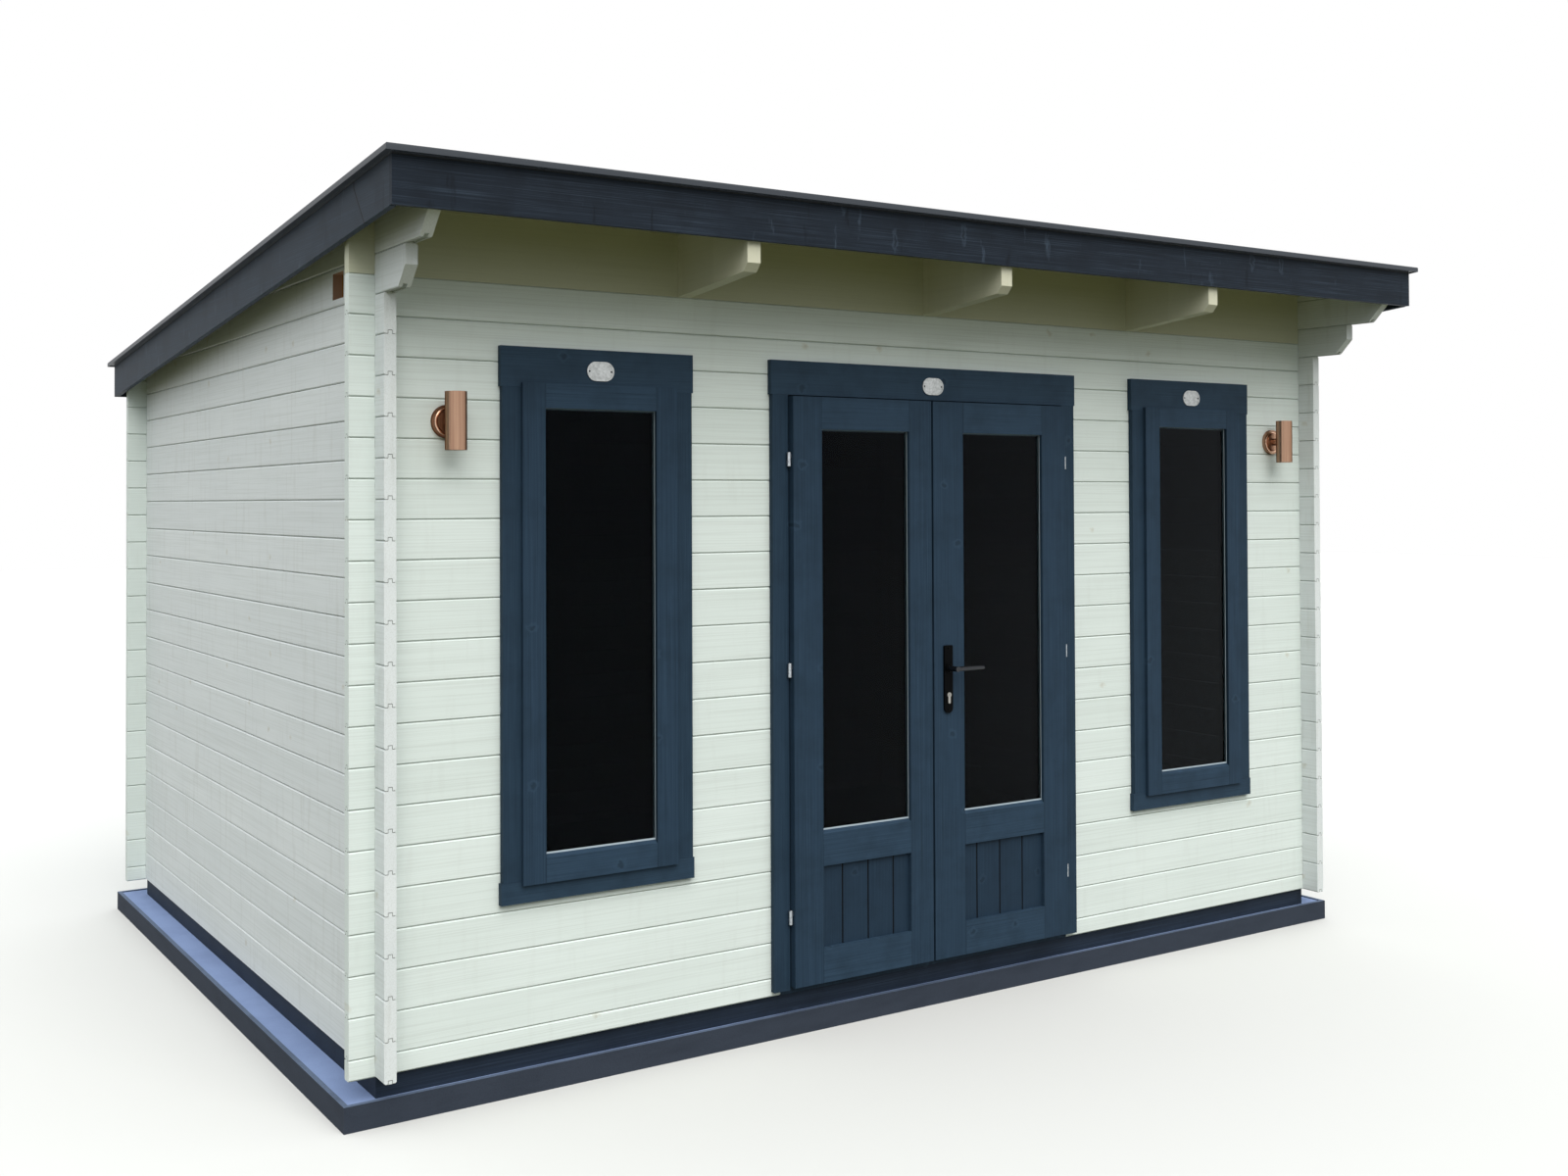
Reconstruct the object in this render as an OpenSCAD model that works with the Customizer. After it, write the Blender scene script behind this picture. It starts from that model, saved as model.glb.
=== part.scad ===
// Garden office pod: a log cabin with a single slope roof, double glazed doors and two tall windows.
// Wall frame: x runs along the front from the left wall's outer face, y runs inwards from the
// front wall's outer face, z runs up from the ground. Every module draws through at_centre().

/* [Log walls] */
// Width over the outer faces of the side walls
wall_w = 3916; // [3300:4:5000]
// Depth over the outer faces of the front and back walls
wall_d = 2890; // [2400:10:4000]
// Thickness of a log
wall_t = 35; // [32:1:58]
// Height that one log covers
course = 114; // [105:1:122]
// How far the log ends stand out past the crossing wall
log_end = 74; // [40:1:74]
// Depth of the small bevel along each edge of a log's face
log_bevel = 4; // [2:0.5:6]
// Width of the tongue along a log's top
tongue_w = 12; // [8:1:16]
// Height of the tongue
tongue_h = 10; // [5:1:12]
// Seating gap between pieces that bear on each other
seat = 0.4; // [0.2:0.1:0.8]

/* [Plinth and floor] */
// Height of the plinth slab
plinth_h = 70; // [50:5:200]
// How far the slab reaches out past the left wall
plinth_left = 72; // [20:1:85]
// How far the slab reaches out past the right wall
plinth_right = 84; // [20:1:85]
// How far the slab reaches out past the back wall
plinth_back = 74; // [20:1:75]
// How far the slab's front edge lies behind the front wall's face
plinth_front_inset = 14; // [10:1:20]
// Thickness of the edging round the slab
edging_t = 16; // [8:1:22]
// How far the edging stands up above the slab
edging_lip = 3; // [1:0.5:8]
// Height of the bearers under the walls and floor
bearer_h = 68; // [40:1:90]
// Width of a bearer
bearer_w = 70; // [60:1:100]
// How far the side bearers lie inside the wall's face
bearer_side_inset = 11; // [5:1:20]
// How far the front bearer lies inside the wall's face
bearer_front_inset = 26; // [22:1:30]
// Number of joists between the end bearers
joist_count = 6; // [4:1:8]
// Width of a joist
joist_w = 45; // [38:1:60]
// Thickness of the floor boards
floor_t = 19; // [16:1:28]
// Width that one floor board covers
floor_board = 112; // [90:1:140]

/* [Roof] */
// Slope of the roof, falling to the back
roof_slope = 5; // [3:0.5:8]
// Height of the deck's underside over the front wall's face, from the wall's foot
deck_rise = 2416; // [2402:1:2425]
// Overhang in front, to the fascia's face
roof_front = 425; // [390:1:470]
// Overhang at the back, to the fascia's face
roof_back = 93; // [93:1:130]
// Overhang at each side, to the barge board's face
roof_side = 104; // [93:1:130]
// Thickness of the deck boards
deck_t = 18; // [15:1:28]
// Width that one deck board covers
deck_board = 96; // [80:1:140]
// Thickness of the rubber roof sheet
sheet_t = 2; // [1:0.5:4]
// Height of the fascia and barge boards
fascia_h = 128; // [100:1:150]
// Thickness of the fascia and barge boards
fascia_t = 18; // [16:1:20]
// Width of the edge trim
trim_w = 50; // [35:1:80]
// Height of the edge trim
trim_h = 18; // [10:1:30]
// How far the edge trim stands out past the fascia
trim_out = 24; // [10:1:30]
// Thickness of a rafter
rafter_t = 45; // [35:1:70]
// Distance between rafters, centre to centre
rafter_gap = 967; // [800:1:1050]
// Bevel at the lower front corner of a rafter
rafter_bevel = 22; // [10:1:40]
// How far the lower bracket log stands out past the front wall
bracket_low = 238; // [150:1:280]
// How far the upper bracket log's underside stands out past the front wall
bracket_high = 340; // [290:1:360]
// Bevel at the nose of a bracket log
bracket_bevel = 56; // [20:1:60]

/* [Vent slot] */
// Distance of the slot from the front wall's face
vent_y = 270; // [150:1:600]
// Length of the slot
vent_w = 100; // [60:1:160]
// Height of the slot
vent_h = 78; // [40:1:84]
// Height of the slot's middle above the middle of its log
vent_rise = 4; // [0:1:6]
// Thickness of the shutter board inside
shutter_t = 12; // [8:1:20]

/* [Windows] */
// Distance of a window's centre from the nearest side wall's face
window_x = 688; // [620:1:720]
// Height of the casement's foot above the wall's foot
window_z = 475; // [450:1:500]
// Width of a casement
casement_w = 516; // [440:1:540]
// Height of a casement
casement_h = 1461; // [1420:1:1470]
// How far a casement's face stands out from the front wall's face
casement_out = 33; // [30:1:38]
// How far a casement's body reaches into its frame
casement_in = 10; // [6:1:16]
// How far a casement's lip covers the boards round it
sash_lip = 12; // [8:1:16]
// How far a casement covers its frame, from the casement's edge
window_lap = 30; // [26:1:34]
// Width of a casement's stiles and rails
casement_stile = 73; // [60:1:85]
// Width of the boards beside and over a window
window_board = 70; // [56:1:76]
// Height of the board under a window
sill_board = 64; // [50:1:80]

/* [Doors] */
// Width over both door leaves
doors_w = 1180; // [1100:2:1240]
// Height of the door leaves
leaf_h = 1900; // [1880:1:1904]
// Height of a leaf's foot above the wall's foot
leaf_z = 26; // [22:1:30]
// Thickness of a leaf
leaf_t = 38; // [36:1:44]
// Width of a leaf's hinge stile
leaf_stile = 112; // [100:1:120]
// Width of the left leaf's meeting stile
meeting_left = 95; // [90:1:110]
// Width of the right leaf's meeting stile, which carries the handle
meeting_right = 131; // [115:1:140]
// Width of a leaf's top rail
top_rail = 106; // [95:1:115]
// Width of the rail between glass and panel
lock_rail = 105; // [90:1:120]
// Width of the bottom rail
bottom_rail = 113; // [95:1:125]
// Height of the boarded panel
panel_h = 264; // [200:1:300]
// Width that one panel board covers
panel_board = 104; // [80:1:120]
// Width of the panel board beside the meeting stile
panel_first = 65; // [50:1:100]
// Clear gap round the leaves
leaf_gap = 5; // [5:0.5:6]
// Clear gap between the two leaves
meeting_gap = 8; // [7:0.5:10]
// How far the meeting line lies left of the middle
meeting_shift = 21; // [0:1:24]
// Width of the boards round the doors
door_board = 60; // [50:1:70]
// Height of the threshold above the wall's foot
threshold_h = 45; // [35:1:60]
// Height of a hinge's middle above the wall's foot, lowest first
hinge_heights = [251, 1043, 1722];
// Radius of a hinge barrel
hinge_r = 7; // [5:0.5:8]
// Length of a hinge, both barrels
hinge_len = 42; // [34:1:60]

/* [Frames and glass] */
// Thickness of the boards round doors and windows
board_t = 20; // [18:1:22]
// Height of the head board over the doors
head_board = 111; // [105:1:130]
// How far the boards over and under an opening run past the boards beside it
board_past = 5; // [0:1:8]
// How far a frame reaches outside the edge of its doors or casement
frame_out = 30; // [20:1:34]
// How far the doors overlap their frame
frame_lap = 20; // [12:1:26]
// Thickness of the lip in front of a glass unit or panel
lip_t = 14; // [12:0.5:15]
// Depth of the rebate behind the lip, and width of its beads
rebate = 12; // [10:1:14]
// Rise of the sloped edge under the glass
edge_rise = 10; // [4:1:12]
// Thickness of a sealed glass unit and of a panel
glass_t = 14; // [12:0.5:15]
// Depth of a bead's face behind the inner face of its door or casement
bead_sink = 1; // [0.5:0.5:2]
// Length of the tenons at a rail's ends
tenon_l = 40; // [25:1:50]
// Thickness of the tenons
tenon_t = 12; // [8:1:12]

/* [Door furniture] */
// Distance of the handle's axis from the meeting edge of the right leaf
backset = 57; // [45:1:64]
// Height of the lever's axis above the wall's foot
lever_z = 1014; // [980:1:1060]
// Distance from the lever's axis down to the key cylinder
key_drop = 91; // [72:1:92]
// Width of a handle plate
plate_w = 36; // [30:1:44]
// Height of a handle plate
plate_h = 231; // [220:1:250]
// Radius of a handle plate's upper corners
plate_corner = 5; // [2:1:12]
// Thickness of a handle plate
plate_t = 8; // [5:1:12]
// Distance from a handle plate to the lever's middle
lever_out = 42; // [36:1:60]
// Length of the lever from its axis
lever_l = 122; // [100:1:140]
// Radius of the lever
lever_r = 9; // [7:0.5:10]

/* [Lamps and plates] */
// Distance of a lamp's axis from the nearest side wall's face
lamp_x = 210; // [150:1:260]
// Height of a lamp's middle above the wall's foot
lamp_z = 1817; // [1700:1:1900]
// Height of a lamp's body
lamp_h = 165; // [120:1:220]
// Radius of a lamp's body
lamp_r = 31; // [25:1:45]
// Distance of a lamp's axis in front of the wall
lamp_out = 70; // [66:1:110]
// Radius of a lamp's wall plate
rose_r = 48; // [40:1:60]
// Width of the blank oval plates
oval_w = 90; // [70:1:110]
// Height of the blank oval plates
oval_h = 58; // [40:1:64]

/* [Hidden] */
$fn = 48;
cut = 1;
foot = plinth_h + bearer_h;
half = course / 2;
lap = course / 4;
slope = tan(roof_slope);
roof_y0 = -roof_front;
roof_y1 = wall_d + roof_back;
deck_y0 = roof_y0 + fascia_t;
deck_y1 = roof_y1 - fascia_t;
trim_y0 = roof_y0 - trim_out;
trim_y1 = roof_y1 + trim_out;
tongue_a = (wall_t - tongue_w) / 2;
tongue_b = (wall_t + tongue_w) / 2;
inside_y0 = wall_t + seat;
inside_y1 = wall_d - wall_t - seat;
rafter_foot = half + 19 * course;
top_board_z = rafter_foot + half;
bracket_i = 19;
rafter_xs = [for (i = [-1:1]) wall_w / 2 + i * rafter_gap];
door_x0 = (wall_w - doors_w) / 2;
meeting_x = wall_w / 2 - meeting_shift;
left_edge = meeting_x - meeting_gap / 2;
right_edge = wall_w - meeting_x - meeting_gap / 2;
leaf_top = leaf_z + leaf_h;
board_top = leaf_top + leaf_gap + head_board;
leaf_back = -leaf_gap;
leaf_front = leaf_back - leaf_t;
panel_z = [foot + leaf_z + bottom_rail, foot + leaf_z + bottom_rail + panel_h];
leaf_pane_z = [panel_z[1] + lock_rail, foot + leaf_top - top_rail];
hinge_x = door_x0 - hinge_r - 1;
hinge_y = -board_t - hinge_r - 2;
hinge_cut = 0.5;
handle_x = meeting_x + meeting_gap / 2 + backset;
casement_top = window_z + casement_h;
casement_x0 = window_x - casement_w / 2;
casement_x1 = window_x + casement_w / 2;
casement_z0 = foot + window_z;
casement_z1 = foot + casement_top;
pane_x = [casement_x0 + casement_stile, casement_x1 - casement_stile];
pane_z = [casement_z0 + casement_stile, casement_z1 - casement_stile];
window_hole = [casement_x0 - frame_out, casement_x1 + frame_out];
window_hole_z = [window_z - frame_out, casement_top + frame_out];
door_hole = [door_x0 - frame_out, wall_w - door_x0 + frame_out];
door_hole_top = leaf_top + frame_out;
sill_i = log_at(window_hole_z[0]);
head_i = log_at(window_hole_z[1]);
top_i = 19;
back_i = log_at(deck_z(wall_d) - foot);
back_end = deck_z(wall_d) - foot - front_level(back_i) > lap + tongue_h ? log_end : -wall_t - seat;

// Heights of the roof's surfaces at a given y
function deck_z(y) = foot + deck_rise - y * slope;
function deck_top(y) = deck_z(y) + deck_t;
function rafter_z(y) = foot + rafter_foot - y * slope;

// Front and back logs start with a half log, so they lie half a course off the side logs
function front_level(i) = i == 0 ? 0 : half + (i - 1) * course;
function side_level(i) = i * course;
function log_at(z) = floor((z - half) / course) + 1;

// A side log runs out past the back wall only where the roof leaves it its core there
function side_end(i) = deck_z(wall_d + log_end) > foot + side_level(i) + half ? wall_d + log_end
    : wall_d - wall_t - seat;

// Outline of a log across its thickness, from its foot at z0 to its shoulder just under z1
function log_section(z0, z1, grooved, tongued) = concat(
    [[0, z0 + log_bevel], [log_bevel, z0]],
    grooved ? [
        [tongue_a - seat, z0], [tongue_a - seat, z0 + tongue_h + seat],
        [tongue_b + seat, z0 + tongue_h + seat], [tongue_b + seat, z0]
    ] : [],
    [[wall_t - log_bevel, z0], [wall_t, z0 + log_bevel]],
    [[wall_t, z1 - seat - log_bevel], [wall_t - log_bevel, z1 - seat]],
    tongued ? [
        [tongue_b, z1 - seat], [tongue_b, z1 + tongue_h - seat],
        [tongue_a, z1 + tongue_h - seat], [tongue_a, z1 - seat]
    ] : [],
    [[log_bevel, z1 - seat], [0, z1 - seat - log_bevel]]
);

// Moves the wall frame so that the origin lies under the middle of the roof's outline
module at_centre() {
    translate([-wall_w / 2, -(trim_y0 + trim_y1) / 2, 0])
        children();
}

module mirror_right() {
    translate([wall_w, 0, 0])
        mirror([1, 0, 0])
            children();
}

module mirror_back() {
    translate([0, wall_d, 0])
        mirror([0, 1, 0])
            children();
}

module box(x0, x1, y0, y1, z0, z1) {
    translate([x0, y0, z0])
        cube([x1 - x0, y1 - y0, z1 - z0]);
}

// Carries a y, z outline along x
module along_x(x0, x1) {
    translate([x0, 0, 0])
        rotate([90, 0, 90])
            linear_extrude(x1 - x0)
                children();
}

// Carries an x, z outline along y
module along_y(y0, y1) {
    translate([0, y1, 0])
        rotate([90, 0, 0])
            linear_extrude(y1 - y0)
                children();
}

// Everything over the deck's underside
module above_deck() {
    y0 = roof_y0 - roof_front;
    y1 = roof_y1 + roof_front;
    along_x(-roof_front, wall_w + roof_front)
        polygon([
            [y0, deck_z(y0) - seat], [y1, deck_z(y1) - seat],
            [y1, deck_z(y1) + course * 5], [y0, deck_z(y1) + course * 5]
        ]);
}

module rafter_outlines(gap) {
    for (x = rafter_xs)
        along_x(x - rafter_t / 2 - gap, x + rafter_t / 2 + gap)
            polygon([
                [deck_y0 - cut, rafter_z(deck_y0 - cut) - gap],
                [deck_y1 + cut, rafter_z(deck_y1 + cut) - gap],
                [deck_y1 + cut, deck_z(deck_y1) + course], [deck_y0 - cut, deck_z(deck_y0) + course]
            ]);
}

// Half laps where a front or back log crosses the side walls
module side_laps(core0, core1, z0, z1) {
    for (x = [-seat, wall_w - wall_t - seat]) {
        box(x, x + wall_t + 2 * seat, -cut, wall_t + cut, z0 - cut, core0);
        box(x, x + wall_t + 2 * seat, -cut, wall_t + cut, core1, z1 + tongue_h + cut);
    }
}

// Half laps where a side log crosses the front and back walls
module end_laps(core0, core1, z0, z1) {
    for (y = [-seat, wall_d - wall_t - seat]) {
        box(-cut, wall_t + cut, y, y + wall_t + 2 * seat, z0 - cut, core0);
        box(-cut, wall_t + cut, y, y + wall_t + 2 * seat, core1, z1 + tongue_h + cut);
    }
}

// Log number i of the front wall between x0 and x1, with its laps
module front_log(i, x0, x1, tongued = true) {
    z0 = foot + front_level(i);
    z1 = foot + front_level(i + 1);
    core0 = i == 0 ? z0 - 2 * cut : z0 + lap + seat / 2;
    difference() {
        along_x(x0, x1)
            polygon(log_section(z0, z1, i > 0, tongued));
        side_laps(core0, z1 - lap - seat / 2, z0, z1);
    }
}

// Log number i of the left wall between y0 and y1, with its laps
module side_log(i, y0, y1, lap_top = true) {
    z0 = foot + side_level(i);
    z1 = foot + side_level(i + 1);
    core1 = lap_top ? z1 - lap - seat / 2 : z1 + tongue_h;
    difference() {
        along_y(y0, y1)
            polygon(log_section(z0, z1, i > 0, true));
        end_laps(z0 + lap + seat / 2, core1, z0, z1);
    }
}

module window_holes() {
    for (x = [window_hole[0], wall_w - window_hole[1]])
        box(x - seat, x + window_hole[1] - window_hole[0] + seat, -cut, wall_t + cut,
            foot + window_hole_z[0] - seat, foot + window_hole_z[1] + seat);
}

module door_hole_cut() {
    box(door_hole[0] - seat, door_hole[1] + seat, -cut, wall_t + cut,
        foot - cut, foot + door_hole_top + seat);
}

module front_lower(tint) {
    color(tint)
        difference() {
            for (i = [0:sill_i])
                front_log(i, -log_end, door_hole[0] - seat);
            window_holes();
        }
}

module front_outer(tint) {
    color(tint)
        for (i = [sill_i + 1:head_i - 1])
            front_log(i, -log_end, window_hole[0] - seat);
}

module front_inner(tint) {
    color(tint)
        for (i = [sill_i + 1:head_i - 1])
            front_log(i, window_hole[1] + seat, door_hole[0] - seat);
}

module front_left_lower_logs() {
    at_centre() front_lower("#d9dfdb");
}

module front_left_outer_logs() {
    at_centre() front_outer("#d6dcd8");
}

module front_left_inner_logs() {
    at_centre() front_inner("#d3dad6");
}

module front_right_lower_logs() {
    at_centre() mirror_right() front_lower("#d9dfdb");
}

module front_right_outer_logs() {
    at_centre() mirror_right() front_outer("#d6dcd8");
}

module front_right_inner_logs() {
    at_centre() mirror_right() front_inner("#d3dad6");
}

module front_upper_logs() {
    at_centre()
        color("#dbe1dd")
            difference() {
                for (i = [head_i:top_i])
                    front_log(i, -log_end, wall_w + log_end, i < top_i);
                window_holes();
                door_hole_cut();
                rafter_outlines(seat);
            }
}

// Blocks between the rafters and beside the bracket logs, up to the deck, on a half log
module front_top_board() {
    at_centre()
        color("#cfd6d2")
            difference() {
                union() {
                    box(-log_end, wall_w + log_end, 0, wall_t, foot + rafter_foot, foot + top_board_z - seat);
                    box(wall_t + seat, wall_w - wall_t - seat, 0, wall_t, foot + rafter_foot,
                        deck_z(0) + course);
                    for (x = [-log_end, wall_w + seat])
                        box(x, x + log_end - seat, 0, wall_t, foot + rafter_foot, deck_z(0) + course);
                }
                side_laps(foot + rafter_foot + lap + seat / 2, foot + top_board_z, foot + rafter_foot,
                    foot + top_board_z - tongue_h - 2 * cut);
                rafter_outlines(seat);
                above_deck();
            }
}

module back_wall() {
    at_centre()
        color("#ccd2d0")
            difference() {
                mirror_back() {
                    for (i = [0:back_i - 1])
                        front_log(i, -log_end, wall_w + log_end);
                    front_log(back_i, -back_end, wall_w + back_end, false);
                }
                rafter_outlines(seat);
                above_deck();
            }
}

module side_wall(tint) {
    color(tint)
        difference() {
            for (i = [0:bracket_i - 1])
                side_log(i, -log_end, side_end(i));
            above_deck();
        }
}

module left_wall() {
    at_centre() side_wall("#c6cccd");
}

module right_wall() {
    at_centre() mirror_right() side_wall("#c6cccd");
}

// Nose of a bracket log: removes what lies outside the bevel, past reach from the wall
module nose_cut(reach, bevel, z0) {
    along_x(-cut, wall_t + cut)
        polygon([
            [-reach - cut, z0 - cut], [-reach + bevel + cut, z0 - cut], [-reach - cut, z0 + bevel + cut]
        ]);
}

module vent_hole() {
    z0 = foot + side_level(bracket_i) + (course - vent_h) / 2 + vent_rise;
    box(-cut, wall_t + cut, vent_y, vent_y + vent_w, z0, z0 + vent_h);
}

// Lower bracket log, with its bevelled nose
module lower_bracket() {
    difference() {
        side_log(bracket_i, -bracket_low, side_end(bracket_i));
        nose_cut(bracket_low, bracket_bevel, foot + side_level(bracket_i));
        above_deck();
    }
}

// Upper bracket log, and the wedge of log over it that fills up to the roof
module upper_bracket() {
    nose = -deck_y0 - seat;
    difference() {
        for (i = [bracket_i + 1:bracket_i + 2])
            along_y(-nose, wall_d)
                polygon(log_section(foot + side_level(i), foot + side_level(i + 1), true,
                    i == bracket_i + 1));
        nose_cut(nose, nose - bracket_high, foot + side_level(bracket_i + 1));
        above_deck();
    }
}

module left_vent_log() {
    at_centre()
        color("#c6cccd")
            difference() {
                lower_bracket();
                vent_hole();
            }
}

module left_bracket_logs() {
    at_centre()
        color("#c2c8c9")
            upper_bracket();
}

module right_bracket_logs() {
    at_centre()
        color("#c2c8c9")
            mirror_right() {
                lower_bracket();
                upper_bracket();
            }
}

module vent_shutter() {
    margin = 18;
    z0 = foot + side_level(bracket_i) + (course - vent_h) / 2 + vent_rise;
    at_centre()
        color("#a9794a")
            box(wall_t, wall_t + shutter_t, vent_y - margin, vent_y + vent_w + margin,
                z0 - margin, z0 + vent_h + margin);
}

module slab_box(grow, z0, z1) {
    box(-plinth_left - grow, wall_w + plinth_right + grow, plinth_front_inset - grow,
        wall_d + plinth_back + grow, z0, z1);
}

module plinth_slab() {
    at_centre()
        color("#8190b0")
            slab_box(0, 0, plinth_h);
}

module plinth_edging() {
    at_centre()
        color("#4c545e")
            difference() {
                slab_box(edging_t, 0, plinth_h + edging_lip);
                slab_box(seat, -cut, plinth_h + edging_lip + cut);
            }
}

module bearers() {
    x0 = bearer_side_inset;
    x1 = wall_w - bearer_side_inset;
    y0 = bearer_front_inset;
    y1 = wall_d - bearer_side_inset;
    joist_step = (x1 - x0 - bearer_w) / (joist_count + 1);
    at_centre()
        color("#333c4a") {
            box(x0, x1, y0, y0 + bearer_w, plinth_h, foot);
            box(x0, x1, y1 - bearer_w, y1, plinth_h, foot);
            for (x = [x0, x1 - bearer_w])
                box(x, x + bearer_w, y0 + bearer_w + seat, y1 - bearer_w - seat, plinth_h, foot);
            for (i = [1:joist_count])
                translate([x0 + bearer_w / 2 + i * joist_step, 0, 0])
                    box(-joist_w / 2, joist_w / 2, y0 + bearer_w + seat, y1 - bearer_w - seat,
                        plinth_h, foot);
        }
}

// Boards run from front to back, with a fine groove at each joint
module floor() {
    groove = 2;
    x0 = wall_t + seat;
    x1 = wall_w - wall_t - seat;
    joints = floor((x1 - x0) / floor_board);
    at_centre()
        color("#d2ad7c")
            along_y(inside_y0, inside_y1)
                polygon(concat(
                    [[x0, foot], [x1, foot], [x1, foot + floor_t]],
                    [for (i = [joints:-1:1], k = [1, 0, -1])
                        if (x0 + i * floor_board < x1 - 2 * groove)
                            [x0 + i * floor_board + k * groove / 2, foot + floor_t - (k == 0 ? groove : 0)]],
                    [[x0, foot + floor_t]]
                ));
}

module rafters() {
    y0 = deck_y0 + seat;
    y1 = deck_y1 - seat;
    at_centre()
        color("#d8ddd8")
            for (x = rafter_xs)
                along_x(x - rafter_t / 2, x + rafter_t / 2)
                    polygon([
                        [y0 + rafter_bevel, rafter_z(y0 + rafter_bevel)], [y1, rafter_z(y1)],
                        [y1, deck_z(y1) - seat], [y0, deck_z(y0) - seat],
                        [y0, rafter_z(y0) + rafter_bevel]
                    ]);
}

// Deck boards run from side to side, with a V groove under each joint
module roof_deck() {
    groove = 4;
    joints = floor((deck_y1 - deck_y0) / deck_board);
    at_centre()
        color("#d6dad2")
            along_x(-roof_side + fascia_t + seat, wall_w + roof_side - fascia_t - seat)
                polygon(concat(
                    [[deck_y0 + seat, deck_z(deck_y0 + seat)]],
                    [for (i = [1:joints], k = [-1, 0, 1])
                        let (y = deck_y0 + i * deck_board + k * groove)
                        if (y < deck_y1 - 2 * groove) [y, deck_z(y) + (k == 0 ? groove : 0)]],
                    [[deck_y1 - seat, deck_z(deck_y1 - seat)]],
                    [[deck_y1 - seat, deck_top(deck_y1 - seat)], [deck_y0 + seat, deck_top(deck_y0 + seat)]]
                ));
}

// A slab that follows the roof's slope, from low to high above the deck's top
module slope_slab(x0, x1, y0, y1, low, high) {
    along_x(x0, x1)
        polygon([
            [y0, deck_top(y0) + low], [y1, deck_top(y1) + low],
            [y1, deck_top(y1) + high], [y0, deck_top(y0) + high]
        ]);
}

module roof_sheet() {
    at_centre()
        color("#3a3e44")
            slope_slab(-roof_side, wall_w + roof_side, roof_y0, roof_y1, seat, seat + sheet_t);
}

module roof_edge_trim() {
    inner = trim_w - trim_out;
    low = sheet_t + 2 * seat;
    at_centre()
        color("#39414c")
            difference() {
                slope_slab(-roof_side - trim_out, wall_w + roof_side + trim_out, trim_y0, trim_y1,
                    low, low + trim_h);
                slope_slab(-roof_side + inner, wall_w + roof_side - inner, roof_y0 + inner, roof_y1 - inner,
                    low - cut, low + trim_h + cut);
            }
}

module front_fascia() {
    at_centre()
        color("#2f3e4e")
            along_x(-roof_side, wall_w + roof_side)
                polygon([
                    [roof_y0, deck_top(roof_y0) - fascia_h], [deck_y0, deck_top(roof_y0) - fascia_h],
                    [deck_y0, deck_top(deck_y0)], [roof_y0, deck_top(roof_y0)]
                ]);
}

module back_fascia() {
    at_centre()
        color("#2f3e4e")
            along_x(-roof_side, wall_w + roof_side)
                polygon([
                    [deck_y1, deck_top(roof_y1) - fascia_h], [roof_y1, deck_top(roof_y1) - fascia_h],
                    [roof_y1, deck_top(roof_y1)], [deck_y1, deck_top(deck_y1)]
                ]);
}

module barge_board() {
    color("#33414f")
        slope_slab(-roof_side, -roof_side + fascia_t, deck_y0 + seat, deck_y1 - seat, -fascia_h, 0);
}

module left_barge_board() {
    at_centre() barge_board();
}

module right_barge_board() {
    at_centre() mirror_right() barge_board();
}

// Opening of a sash: a sight opening in the front lip, sloped at its foot, and a wider rebate behind
module sash_opening(xs, zs, front, back, rise) {
    along_x(xs[0], xs[1])
        polygon([
            [front - cut, zs[0] - cut * rise / lip_t],
            [front + lip_t + cut, zs[0] + rise * (lip_t + cut) / lip_t],
            [front + lip_t + cut, zs[1]], [front - cut, zs[1]]
        ]);
    box(xs[0] - rebate, xs[1] + rebate, front + lip_t, back + cut, zs[0] - rebate, zs[1] + rebate);
}

// A rail's tenons, as one bar through the rail, grown by gap for the mortises
module tenon_bar(xs, rail, y, gap) {
    shoulder = 20;
    box(xs[0] - tenon_l - gap, xs[1] + tenon_l + gap, y - gap, y + tenon_t + gap,
        rail[0] + shoulder - gap, rail[1] - shoulder + gap);
}

// Splits a sash's body, its child, into two stiles and the rails between them, with tenons.
// xs holds the stiles' inner edges, zs the heights of foot and top
module sash_members(xs, zs, rails, front, back) {
    wide = 2 * leaf_stile;
    y = front + lip_t + 5;
    for (side = [[xs[0] - wide, xs[0]], [xs[1], xs[1] + wide]])
        difference() {
            intersection() {
                children();
                box(side[0], side[1], front - cut, back + cut, zs[0] - cut, zs[1] + cut);
            }
            for (rail = rails)
                tenon_bar(xs, rail, y, seat);
        }
    for (rail = rails) {
        intersection() {
            children();
            box(xs[0] + seat, xs[1] - seat, front - cut, back + cut,
                rail[0] - cut, rail[1] + edge_rise + cut);
        }
        tenon_bar(xs, rail, y, 0);
    }
}

// Four straight beads behind a glass unit or panel
module beads(xs, zs, front, back) {
    y0 = front + lip_t + glass_t + 2 * seat;
    y1 = back - bead_sink;
    for (x = [xs[0] - rebate + seat, xs[1]])
        box(x, x + rebate - seat, y0, y1, zs[0] - rebate + seat, zs[1] + rebate - seat);
    for (z = [zs[0] - rebate + seat, zs[1]])
        box(xs[0] + seat, xs[1] - seat, y0, y1, z, z + rebate - seat);
}

module glass_unit(xs, zs, front) {
    grow = rebate - seat;
    color("#26343a", 0.5)
        box(xs[0] - grow, xs[1] + grow, front + lip_t + seat, front + lip_t + seat + glass_t,
            zs[0] - grow, zs[1] + grow);
}

// Two jambs, and a head and a sill between them
module window_frame() {
    inner = frame_out + window_lap;
    z0 = foot + window_hole_z[0];
    z1 = foot + window_hole_z[1];
    color("#2c3c4c") {
        for (x = [window_hole[0], window_hole[1] - inner])
            box(x, x + inner, 0, wall_t, z0, z1);
        for (z = [z0, z1 - inner])
            box(window_hole[0] + inner + seat, window_hole[1] - inner - seat, 0, wall_t, z, z + inner);
    }
}

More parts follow.
